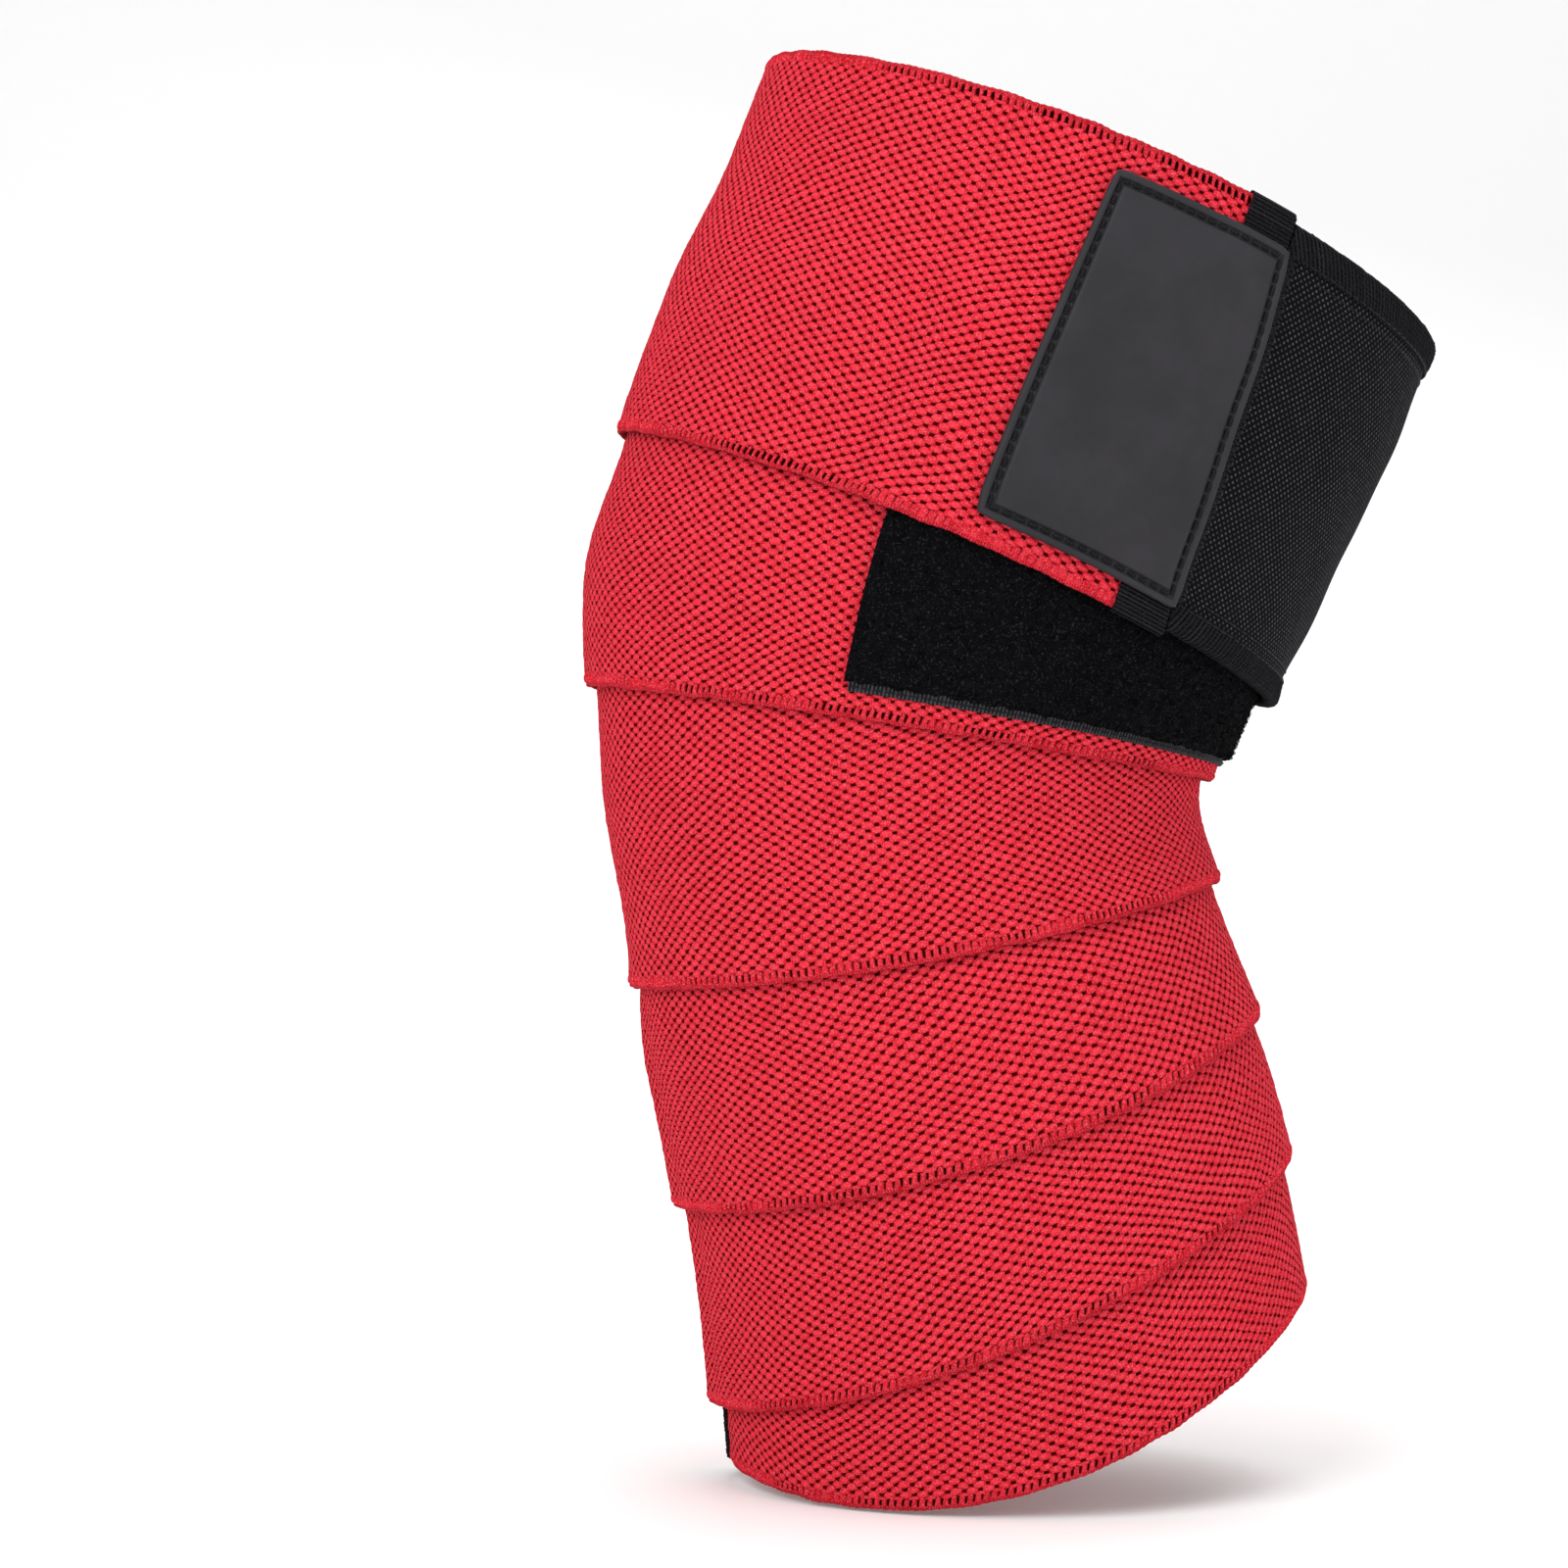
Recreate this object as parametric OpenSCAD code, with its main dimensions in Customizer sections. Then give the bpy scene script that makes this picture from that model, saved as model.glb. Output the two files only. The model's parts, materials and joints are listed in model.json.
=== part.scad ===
// Elastic knee wrap, wound on a bent knee and closed with a hook-and-loop tab.
// The origin is the centre of the knee. +Z goes up the leg, -X is the kneecap side,
// +X is the hollow of the knee and -Y is the side where the wrap is closed.
// The leg itself is not part of the model: it is only the surface the band is wound on.

/* [Leg under the wrap] */
// Height of each leg section, from the shin up to the thigh
leg_height = [-155, -110, -70, -30, -10, 10, 35, 60, 95, 140]; // [-200:1:200]
// Front of the leg in each section
leg_front = [-30, -34, -41, -51, -54.5, -57.5, -57, -50.5, -37.5, -20]; // [-70:0.5:0]
// Back of the leg in each section
leg_back = [84, 78.5, 69.5, 54.5, 53, 62.5, 77, 92, 112, 137]; // [40:0.5:150]
// Half of the leg's depth in each section
leg_half_depth = [49, 53, 55, 54, 54.5, 56.5, 60, 62, 63, 64]; // [40:0.5:80]

/* [Elastic band] */
// Width of the band
band_width = 79; // [60:1:100]
// Thickness of the band
band_thick = 1.9; // [1.5:0.1:2.2]
// Distance between one turn and the turn over it
turn_pitch = 2.3; // [2:0.1:3]
// Winding angle where the band starts, from the front of the first turn
band_start = -12; // [-20:1:-6]
// Winding angle where the band's tail starts to lift, a little before the patch
tail_start = 1878; // [1872:3:1881]
// Height of the band's lower edge at the front of each turn, and at the front again under the tab
turn_front = [-145, -133, -93.5, -49.5, 8.5, 57, 57]; // [-150:0.5:70]
// Height of the band's lower edge at the back of each turn
turn_back = [-110.5, -85, -58.5, -32.5, -8.5, 9]; // [-120:0.5:20]
// How far the near side of each turn sags below the line from its front to its back
turn_sag = [15, 6, 5, 3, 0, -2]; // [-5:0.5:12]
// Length over which a turn comes down beyond the edge of a turn under it
step_length = 26; // [16:1:30]

/* [Closure] */
// Length of the loop pad along the band, as a winding angle
loop_pad_angle = 144; // [120:9:153]
// Margin of the loop pad inside the band's edges
loop_margin = 5; // [3:0.5:8]
// Thickness of the loop tape
loop_tape_thick = 0.7; // [0.5:0.1:1]
// Height of the loop pile on its tape
loop_pile_thick = 1.6; // [1:0.1:2]
// Width of the ribbed selvedge without pile along each edge of the loop tape
loop_selvedge = 1.9; // [1:0.1:3]
// Length of free band between the tail's hinge line and the patch, as a winding angle
free_tail_angle = 11; // [8:0.1:12]
// How much further round its lower end the slanting closure lies than its upper end, as a winding angle
closure_slant = 8.2; // [0:0.1:10]
// Length of the rubber patch along the band, as a winding angle
patch_angle = 32; // [26:1:34]
// Thickness of the rubber patch
patch_thick = 1.6; // [1.2:0.1:2]
// Height of the patch's rim and raised field above its stitch groove
patch_rim_height = 0.6; // [0.3:0.1:1]
// Length of the tape folded over the band's end, as a winding angle
sleeve_angle = 9; // [6:1:12]
// Thickness of the black binding tapes
binding_thick = 0.6; // [0.4:0.1:0.8]
// Visible width of the binding tapes
binding_width = 4; // [3:0.5:6]
// Width of the tab
tab_width = 75; // [65:1:78]
// Length of the tab, as a winding angle
tab_angle = 94; // [80:1:110]
// Thickness of the nylon tab
tab_thick = 0.8; // [0.6:0.1:1]
// Thickness of the hook tape with its hooks
hook_thick = 1.3; // [1:0.1:1.6]
// Gap between the closed tail or tab and the loop pad under it
closure_gap = 0.45; // [0.4:0.05:0.6]
// Length of one stitch
stitch_length = 2.2; // [1.8:0.1:3]
// Thickness of the sewing thread
thread = 0.5; // [0.3:0.1:0.7]

/* [Hidden] */

red = "#d9243c";
black = "#17171a";
charcoal = "#3a3a3e";
thread_black = "#0c0c0e";

turn = 360;
last_turn = 5 * turn;           // winding angle at the front of the last turn
section_step = 9;               // winding angle between two sections of the wound band
fine_step = 4.5;                // the same for the pieces of the closure
band_columns = 12;              // stretches across the band
fine_column = 6;                // longest stretch across a piece of the closure
slope_sample = 0.5;             // small step that a surface's slope is measured over
mm_per_degree = 1.28;           // length along the closure for one degree of winding angle
fit_gap = 0.15;                 // gap between two layers that are sewn together
pile_gap = 0.1;                 // gap between the loop pile and its tape
seam_gap = 0.05;                // gap between a seam and the layer it lies on
hinge_play = 0.35;              // winding angle left free on each side of a hinge line
pad_step_length = 36;           // length over which the tail comes down beyond the loop pad
pad_near_angle = 78;            // winding angle from the front of the turn under the last one to the loop pad
pad_start = last_turn - turn + pad_near_angle;
pad_end = pad_start + loop_pad_angle;
tail_hinge = tail_start + hinge_play;       // winding angle of the line that the tail lifts about
patch_start = tail_hinge + free_tail_angle;
patch_end = patch_start + patch_angle;
tail_end_inset = 0.4;           // winding angle by which the tail's cloth ends before the patch does
tail_end = patch_end - tail_end_inset;
sleeve_start = patch_end - sleeve_angle;
tail_rise_angle = 5;            // winding angle over which the tail rises onto the tape under its end
tab_hinge_gap = 1.1;            // winding angle from the patch's end to the tab's hinge line
tab_hinge = patch_end + tab_hinge_gap;      // winding angle of the line that the tab peels about
tab_start = tab_hinge + hinge_play;
tab_end = tab_hinge + tab_angle;
tab_margin = (band_width - tab_width) / 2;
patch_margin_low = 5;           // margin of the patch over the band's lower edge
patch_margin_high = 6;          // and under its upper edge
patch_rim = 1.6;                // width of the patch's rim
patch_groove = 1.4;             // width of the patch's stitch groove
patch_bevel = 0.4;              // width of the slopes beside the groove
patch_column = 8;               // longest stretch across the patch's raised field
hook_inset = 5;                 // distance from the tab's outline to the hook tape
hook_seam_inset = 1.5;          // distance from the hook tape's edge to its seam
binding_seam_inset = 3.3;       // distance from the tab's outline to the seam in its binding
seam_end_angle = 1;             // winding angle between a long seam's ends and the ends of its piece
seam_inset = 0.2;               // winding angle between the tab's near end and the zigzag seam
seam_width = 2.4;               // width of the zigzag seam beside the patch
zigzag_pitch = 1.1;             // distance between two bars of the zigzag seam
stitch_pitch = stitch_length + 0.6;
start_tape_angle = 12;          // length of the tape folded over the band's first end
start_seam_angle = 3;           // distance from that tape's edge to its seam
start_seam_margin = 3;          // distance from the seam's ends to the band's edges

// Heights of the layers, counted from the inside of the band they lie on
pad_low = band_thick + fit_gap;
pile_low = pad_low + loop_tape_thick + pile_gap;
pile_high = pile_low + loop_pile_thick;
pad_lift = pile_high + closure_gap - turn_pitch;    // what the pad adds under the last turn
sleeve_lift = binding_thick + fit_gap;              // how far the folded tape lifts the tail's end
patch_low = band_thick + fit_gap;
tab_low = hook_thick + fit_gap;
tab_high = tab_low + tab_thick;
start_tape_lift = binding_thick + thread + 2 * fit_gap;

// ---- smooth steps and curves ----
function clamp01(t) = max(0, min(1, t));
function smooth(t) = let (c = clamp01(t)) c * c * (3 - 2 * c);
function unit(v) = v / norm(v);
function steps(from, to, step) =
    let (n = max(1, ceil((to - from) / step - 0.01)))
    [for (i = [0 : n]) from + (to - from) * i / n];

// Value of a smooth curve through the leg sections at height z, straight beyond the last section
function section_at(z) = max([for (i = [0 : len(leg_height) - 2]) z >= leg_height[i] || i == 0 ? i : 0]);
function slope_at(values, i) =
    let (a = max(0, i - 1), b = min(len(leg_height) - 1, i + 1))
    (values[b] - values[a]) / (leg_height[b] - leg_height[a]);
function leg_curve(values, z) =
    let (i = section_at(z),
         span = leg_height[i + 1] - leg_height[i],
         t = (z - leg_height[i]) / span,
         c = clamp01(t),
         m0 = slope_at(values, i) * span,
         m1 = slope_at(values, i + 1) * span)
    (2 * c * c * c - 3 * c * c + 1) * values[i]
    + (c * c * c - 2 * c * c + c) * m0
    + (3 * c * c - 2 * c * c * c) * values[i + 1]
    + (c * c * c - c * c) * m1
    + (t - c) * (t > 1 ? m1 : m0);

// Point of the leg at winding angle w and height z, and the direction straight out of it
function leg_point(w, z) =
    let (front = leg_curve(leg_front, z), back = leg_curve(leg_back, z))
    [(front + back) / 2 - (back - front) / 2 * cos(w), -leg_curve(leg_half_depth, z) * sin(w), z];
function leg_out(w, z) =
    let (along = leg_point(w + slope_sample, z) - leg_point(w - slope_sample, z),
         up = leg_point(w, z + slope_sample) - leg_point(w, z - slope_sample))
    unit(cross(along, up));

// ---- the band's course ----
// Height of the lower edge where a half turn starts: at the front for even ones, at the back for odd ones
function edge_knot(h) = h < 0 ? turn_front[0] : h % 2 == 0 ? turn_front[h / 2] : turn_back[(h - 1) / 2];
function lower_edge(w) =
    let (h = floor(w / 180), ease = (1 - cos(w - h * 180)) / 2)
    edge_knot(h) * (1 - ease) + edge_knot(h + 1) * ease
    - (h >= 0 && h % 2 == 0 ? turn_sag[h / 2] * pow(sin(w), 2) : 0);
// Height of the point that lies s millimetres across the band from its lower edge
function across(w, s) =
    let (low = lower_edge(w))
    low + s * band_width / norm(leg_point(w, low + band_width) - leg_point(w, low));
function upper_edge(w) = across(w, band_width);

// How much of the tape folded over the band's first end lies at winding angle w
function start_tape(w) = smooth((band_start + start_tape_angle + section_step - w) / section_step);
// Thickness of the turns that lie under the band at winding angle w and height z
function turns_under(w, z) =
    let (below = w - turn)
    below < band_start - section_step ? 0 :
    (turn_pitch + start_tape_lift * start_tape(below))
        * smooth((below - band_start + section_step) / section_step)
        * smooth((upper_edge(below) + step_length - z) / step_length)
    + turns_under(below, z);
// Thickness of the loop pad under the last turn
function pad_under(w, z) =
    let (below = w - turn)
    w < last_turn ? 0 :
    pad_lift * smooth((below - pad_start + section_step) / section_step)
        * smooth((pad_end + section_step - below) / section_step)
        * smooth((across(below, band_width - loop_margin) + pad_step_length - z) / pad_step_length);

// The closure lies at a slant across the band, which grows from the tail's hinge line to the tab's
function slanted(w, s) =
    w + closure_slant * (0.5 - s / band_width) * clamp01((w - tail_hinge) / (tab_hinge - tail_hinge));
// Point at winding angle w, s millimetres across the band and h millimetres out from its inner side
function on_band(w, s, h) =
    let (v = slanted(w, s), z = across(v, s))
    leg_point(v, z) + (turns_under(v, z) + pad_under(v, z) + h) * leg_out(v, z);
// Direction straight out of the band at winding angle w, s millimetres across it
function band_out(w, s) = let (v = slanted(w, s)) leg_out(v, across(v, s));
// Extra height where the tail rises onto the tape folded under its end
function tail_rise(w) = sleeve_lift * smooth((w - sleeve_start) / tail_rise_angle + 1);

// ---- solids that follow the band ----
// A closed sheet from a grid of point pairs, each with an inner and an outer point
module sheet(grid) {
    rows = len(grid);
    cols = len(grid[0]);
    points = [for (side = [0, 1]) for (row = grid) for (pair = row) pair[side]];
    at = function (side, i, j) (side * rows + i) * cols + j;
    faces = [
        for (i = [0 : rows - 2]) for (j = [0 : cols - 2]) for (face = [
            [at(0, i, j), at(0, i + 1, j), at(0, i, j + 1)],
            [at(0, i, j + 1), at(0, i + 1, j), at(0, i + 1, j + 1)],
            [at(1, i, j), at(1, i, j + 1), at(1, i + 1, j)],
            [at(1, i, j + 1), at(1, i + 1, j + 1), at(1, i + 1, j)]]) face,
        for (i = [0 : rows - 2]) for (face = [
            [at(0, i, 0), at(1, i, 0), at(0, i + 1, 0)],
            [at(0, i + 1, 0), at(1, i, 0), at(1, i + 1, 0)],
            [at(0, i, cols - 1), at(0, i + 1, cols - 1), at(1, i, cols - 1)],
            [at(0, i + 1, cols - 1), at(1, i + 1, cols - 1), at(1, i, cols - 1)]]) face,
        for (j = [0 : cols - 2]) for (face = [
            [at(0, 0, j), at(0, 0, j + 1), at(1, 0, j)],
            [at(0, 0, j + 1), at(1, 0, j + 1), at(1, 0, j)],
            [at(0, rows - 1, j), at(1, rows - 1, j), at(0, rows - 1, j + 1)],
            [at(0, rows - 1, j + 1), at(1, rows - 1, j), at(1, rows - 1, j + 1)]]) face];
    polyhedron(points, faces);
}
// A flat layer: columns(w) lists the distances across the band, low(w, s) and high(w, s) its two heights
module layer(angles, columns, low, high)
    sheet([for (w = angles) [for (s = columns(w)) [on_band(w, s, low(w, s)), on_band(w, s, high(w, s))]]]);
// A tape folded over an edge that runs along the band. The edge lies at s, side is 1 for an upper edge
// and -1 for a lower one, and the tape covers what lies between the heights low and high
module edge_tape(angles, s, side, low, high) {
    in = binding_width;
    lip = fit_gap + binding_thick;
    path = [[[-in, high + fit_gap], [-in, high + lip]], [[0, high + fit_gap], [0, high + lip]],
            [[fit_gap, high], [lip, high]], [[fit_gap, low], [lip, low]],
            [[0, low - fit_gap], [0, low - lip]], [[-in, low - fit_gap], [-in, low - lip]]];
    order = side > 0 ? [0 : len(path) - 1] : [len(path) - 1 : -1 : 0];
    sheet([for (w = angles) [for (k = order) [for (p = path[k]) on_band(w, s + side * p[0], p[1])]]]);
}
// A tape folded over an end of the band. The end lies at w, side is 1 for the far end and -1 for the
// near one, angle is the length covered, and low and high are the heights of what it covers
module end_tape(w, side, angle, columns, low, high) {
    gap = fit_gap / mm_per_degree;
    lip = gap + binding_thick / mm_per_degree;
    out = fit_gap + binding_thick;
    half = angle / 2;
    path = [[[-angle, high + fit_gap], [-angle, high + out]], [[-half, high + fit_gap], [-half, high + out]],
            [[0, high + fit_gap], [0, high + out]], [[gap, high], [lip, high]],
            [[gap, low], [lip, low]], [[0, low - fit_gap], [0, low - out]],
            [[-half, low - fit_gap], [-half, low - out]], [[-angle, low - fit_gap], [-angle, low - out]]];
    order = side > 0 ? [0 : len(path) - 1] : [len(path) - 1 : -1 : 0];
    sheet([for (k = order) [for (s = columns) [for (p = path[k]) on_band(w + side * p[0], s, p[1])]]]);
}
// Stitches: short bars of thread, each from one [w, s, h] to another
module stitches(ends) {
    corners = function (a, b)
        let (p = on_band(a[0], a[1], a[2]), q = on_band(b[0], b[1], b[2]),
             out = thread * band_out(a[0], a[1]),
             side = thread / 2 * unit(cross(q - p, out)))
        [p - side, p + side, p + side + out, p - side + out,
         q - side, q + side, q + side + out, q - side + out];
    box = [[0, 1, 2], [0, 2, 3], [4, 6, 5], [4, 7, 6], [0, 4, 5], [0, 5, 1],
           [1, 5, 6], [1, 6, 2], [2, 6, 7], [2, 7, 3], [3, 7, 4], [3, 4, 0]];
    polyhedron([for (e = ends) for (p = corners(e[0], e[1])) p],
               [for (i = [0 : len(ends) - 1]) for (f = box) [for (k = f) k + 8 * i]]);
}
// Ends of the stitches in a seam along the band, and in a seam across it
function seam_along(w0, w1, s, h) =
    let (pitch = stitch_pitch / mm_per_degree, part = stitch_length / mm_per_degree)
    [for (w = steps(w0, w1 - pitch, pitch)) [[w, s(w), h(w)], [w + part, s(w + part), h(w + part)]]];
function seam_across(w, s0, s1, h) =
    [for (s = steps(s0, s1 - stitch_pitch, stitch_pitch)) [[w, s, h], [w, s + stitch_length, h]]];

function band_columns_at(w) = steps(0, band_width, band_width / band_columns);

// ---- the wound part ----
module elastic_band()
    color(red)
    layer(steps(band_start, tail_start, section_step), function (w) band_columns_at(w),
          function (w, s) 0, function (w, s) band_thick);

module start_binding()
    color(black)
    end_tape(band_start, -1, start_tape_angle, band_columns_at(0), 0, band_thick);

module start_stitching()
    color(thread_black)
    stitches(seam_across(band_start + start_tape_angle - start_seam_angle, start_seam_margin,
                         band_width - start_seam_margin, band_thick + fit_gap + binding_thick + seam_gap));

function pad_columns(margin) = steps(loop_margin + margin, band_width - loop_margin - margin, fine_column);
module loop_tape()
    color(charcoal)
    layer(steps(pad_start, pad_end, section_step), function (w) pad_columns(0),
          function (w, s) pad_low, function (w, s) pad_low + loop_tape_thick);

module loop_pile()
    color(black)
    layer(steps(pad_start, pad_end, section_step), function (w) pad_columns(loop_selvedge),
          function (w, s) pile_low, function (w, s) pile_high);

module loop_stitching() {
    first = pad_start + seam_end_angle;
    last = pad_end - seam_end_angle;
    inset = loop_margin + loop_selvedge / 2;
    h = function (w) pad_low + loop_tape_thick + seam_gap;
    color(thread_black)
    stitches(concat(seam_along(first, last, function (w) inset, h),
                    seam_along(first, last, function (w) band_width - inset, h)));
}

// ---- the tail, which lifts about its hinge line at tail_hinge ----
module band_tail()
    color(red)
    layer(steps(tail_hinge + hinge_play, tail_end, fine_step), function (w) band_columns_at(w),
          function (w, s) tail_rise(w), function (w, s) tail_rise(w) + band_thick);

module end_sleeve()
    color(black)
    end_tape(tail_end, 1, tail_end - sleeve_start, band_columns_at(0),
             sleeve_lift, sleeve_lift + band_thick);

// Height of the patch's inner side, which steps up onto the sleeve
function patch_base(w) = patch_low + 2 * tail_rise(w);
// Relief of the patch a distance d inside its edge: rim, stitch groove, raised field
function patch_relief(d) =
    patch_rim_height * (1 - smooth((d - patch_rim) / patch_bevel)
                        + smooth((d - patch_rim - patch_groove) / patch_bevel));
module rubber_patch() {
    field = patch_rim + patch_groove + patch_bevel;
    rim_marks = [0, patch_rim, patch_rim + patch_bevel, patch_rim + patch_groove];
    low_s = patch_margin_low;
    high_s = band_width - patch_margin_high;
    first = patch_start + field / mm_per_degree;
    last = patch_end - field / mm_per_degree;
    rise = sleeve_start - tail_rise_angle;
    rows = concat([for (m = rim_marks) patch_start + m / mm_per_degree],
                  steps(first, rise, fine_step),
                  [rise + tail_rise_angle / 2],
                  steps(sleeve_start, last, fine_step),
                  [for (k = [3 : -1 : 0]) patch_end - rim_marks[k] / mm_per_degree]);
    columns = concat([for (m = rim_marks) low_s + m],
                     steps(low_s + field, high_s - field, patch_column),
                     [for (k = [3 : -1 : 0]) high_s - rim_marks[k]]);
    inside = function (w, s)
        min(s - low_s, high_s - s, (w - patch_start) * mm_per_degree, (patch_end - w) * mm_per_degree);
    color(charcoal)
    layer(rows, function (w) columns,
          function (w, s) patch_base(w),
          function (w, s) patch_base(w) + patch_thick + patch_relief(inside(w, s)));
}

module patch_stitching() {
    d = patch_rim + patch_groove / 2 + patch_bevel / 2;
    in = d / mm_per_degree;
    h = function (w) patch_base(w) + patch_thick + fit_gap;
    low_s = patch_margin_low + d;
    high_s = band_width - patch_margin_high - d;
    color(thread_black)
    stitches(concat(seam_along(patch_start + in, patch_end - in, function (w) low_s, h),
                    seam_along(patch_start + in, patch_end - in, function (w) high_s, h),
                    seam_across(patch_start + in, low_s + d / 2, high_s - d / 2, h(patch_start + in)),
                    seam_across(patch_end - in, low_s + d / 2, high_s - d / 2, h(patch_end - in))));
}

// ---- the tab, which peels about its hinge line at tab_hinge ----
function tab_columns(margin) =
    steps(tab_margin + margin, band_width - tab_margin - margin, fine_column);

module tab_panel()
    color(black)
    layer(steps(tab_start, tab_end, fine_step), function (w) tab_columns(0),
          function (w, s) tab_low, function (w, s) tab_high);

module hook_panel()
    color(charcoal)
    layer(steps(tab_start + hook_inset / mm_per_degree, tab_end - hook_inset / mm_per_degree, fine_step),
          function (w) tab_columns(hook_inset), function (w, s) 0, function (w, s) hook_thick);

module tab_binding_upper()
    color(black)
    edge_tape(steps(tab_start, tab_end, fine_step), band_width - tab_margin, 1, tab_low, tab_high);

module tab_binding_lower()
    color(black)
    edge_tape(steps(tab_start, tab_end, fine_step), tab_margin, -1, tab_low, tab_high);

module tab_binding_tip()
    color(black)
    end_tape(tab_end, 1, binding_width / mm_per_degree, tab_columns(binding_width + fit_gap),
             tab_low, tab_high);

module seam_stitching() {
    first = tab_start + seam_inset;
    last = first + seam_width / mm_per_degree;
    h = tab_high + seam_gap;
    half = zigzag_pitch / 2;
    color(thread_black)
    stitches([for (s = steps(tab_margin + binding_width + zigzag_pitch,
                             band_width - tab_margin - binding_width - zigzag_pitch, zigzag_pitch))
        [[first, s, h], [last, s + half, h]]]);
}

module hook_stitching() {
    d = hook_inset + hook_seam_inset;
    first = tab_start + d / mm_per_degree + seam_width / mm_per_degree;
    last = tab_end - d / mm_per_degree;
    low_s = tab_margin + d;
    high_s = band_width - tab_margin - d;
    h = function (w) tab_high + seam_gap;
    color(thread_black)
    stitches(concat(seam_along(first, last, function (w) low_s, h),
                    seam_along(first, last, function (w) high_s, h),
                    seam_across(last, low_s + stitch_pitch, high_s - stitch_pitch, h(last))));
}

module binding_stitching() {
    h = function (w) tab_high + fit_gap + binding_thick + seam_gap;
    first = tab_start + seam_end_angle;
    last = tab_end - seam_end_angle;
    low_s = tab_margin + binding_seam_inset;
    high_s = band_width - tab_margin - binding_seam_inset;
    tip = tab_end - binding_seam_inset / mm_per_degree;
    color(thread_black)
    stitches(concat(seam_along(first, last, function (w) low_s, h),
                    seam_along(first, last, function (w) high_s, h),
                    seam_across(tip, low_s + binding_width, high_s - binding_width, h(tip))));
}

elastic_band();
start_binding();
start_stitching();
loop_tape();
loop_pile();
loop_stitching();
band_tail();
end_sleeve();
rubber_patch();
patch_stitching();
tab_panel();
hook_panel();
tab_binding_upper();
tab_binding_lower();
tab_binding_tip();
seam_stitching();
hook_stitching();
binding_stitching();
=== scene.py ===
import json
import math

import bmesh
import bpy
import numpy as np
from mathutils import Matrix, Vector


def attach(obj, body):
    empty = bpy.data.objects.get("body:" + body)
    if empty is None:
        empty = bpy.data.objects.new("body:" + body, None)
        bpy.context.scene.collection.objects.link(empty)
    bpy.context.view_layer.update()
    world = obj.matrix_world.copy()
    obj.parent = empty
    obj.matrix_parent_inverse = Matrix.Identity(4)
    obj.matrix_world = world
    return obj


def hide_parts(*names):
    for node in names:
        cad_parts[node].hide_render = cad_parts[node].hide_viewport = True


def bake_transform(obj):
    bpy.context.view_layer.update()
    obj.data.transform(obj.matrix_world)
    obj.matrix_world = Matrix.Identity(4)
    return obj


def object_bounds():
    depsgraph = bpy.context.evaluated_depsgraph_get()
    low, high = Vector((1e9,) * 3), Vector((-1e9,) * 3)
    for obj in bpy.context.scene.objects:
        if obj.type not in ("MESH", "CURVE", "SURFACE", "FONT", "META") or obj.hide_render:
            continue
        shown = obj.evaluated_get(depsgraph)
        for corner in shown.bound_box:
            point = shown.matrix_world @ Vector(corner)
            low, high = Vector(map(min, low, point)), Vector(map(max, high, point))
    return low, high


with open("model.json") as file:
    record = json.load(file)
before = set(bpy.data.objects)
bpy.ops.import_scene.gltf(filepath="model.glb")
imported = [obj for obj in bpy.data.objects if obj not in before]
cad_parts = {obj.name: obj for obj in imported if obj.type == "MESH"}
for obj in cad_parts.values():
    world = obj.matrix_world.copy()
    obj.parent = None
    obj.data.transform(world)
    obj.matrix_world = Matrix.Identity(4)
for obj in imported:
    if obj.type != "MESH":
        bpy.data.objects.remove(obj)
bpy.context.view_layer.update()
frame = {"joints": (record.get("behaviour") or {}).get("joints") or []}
RANDOM = np.random.default_rng(7)

# ---- The winding ----
# Lengths are in millimetres until on_band() turns them into the frame's metres, and angles in degrees.
# The band is wound on a bent leg that isn't built itself. Its front, back and half depth at ten heights:
LEG_HEIGHT = np.array([-155, -110, -70, -30, -10, 10, 35, 60, 95, 140], float)
LEG_FRONT = np.array([-30, -34, -41, -51, -54.5, -57.5, -57, -50.5, -37.5, -20])
LEG_BACK = np.array([84, 78.5, 69.5, 54.5, 53, 62.5, 77, 92, 112, 137])
LEG_HALF_DEPTH = np.array([49, 53, 55, 54, 54.5, 56.5, 60, 62, 63, 64.0])
TURN = 360.0              # winding angle of one turn, in degrees
TURN_FRONT = [-145, -133, -93.5, -49.5, 8.5, 57, 57]     # lower edge at the front of each turn
TURN_BACK = [-110.5, -85, -58.5, -32.5, -8.5, 9]         # and at its back
TURN_SAG = [15, 6, 5, 3, 0, -2]                          # and how far its near side sags
BAND_WIDTH = 79.0
BAND_THICK = 1.9
TURN_PITCH = 2.3          # from one turn to the one over it
STEP_LENGTH = 26.0        # over which a turn comes down beyond the edge of one under it
PAD_STEP_LENGTH = 36.0
RAMP = 9.0                # winding angle over which a turn rises onto something under it
BAND_START = -12.0
TAIL_START = 1878.0
LAST_TURN = 5 * TURN
FIT_GAP = 0.15            # between pieces that lie on each other
BINDING_THICK = 0.6
BINDING_WIDTH = 4.0
LOOP_TAPE_THICK = 0.7
LOOP_PILE_THICK = 1.6
CLOSURE_GAP = 0.45        # between the pile and what is closed over it
CLOSURE_SLANT = 8.2       # winding angle by which the closure's lower end lies beyond its upper end
PILE_GAP = 0.1
THREAD = 0.5              # a sewing thread's thickness
START_TAPE_ANGLE = 12.0
START_TAPE_LIFT = BINDING_THICK + THREAD + 2 * FIT_GAP
PAD_START = LAST_TURN - TURN + 78
PAD_END = PAD_START + 144
PAD_MARGIN = 5.0
PAD_SELVEDGE = 1.9
PAD_LOW = BAND_THICK + FIT_GAP
PILE_LOW = PAD_LOW + LOOP_TAPE_THICK + PILE_GAP
PILE_HIGH = PILE_LOW + LOOP_PILE_THICK
PAD_LIFT = PILE_HIGH + CLOSURE_GAP - TURN_PITCH
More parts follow.
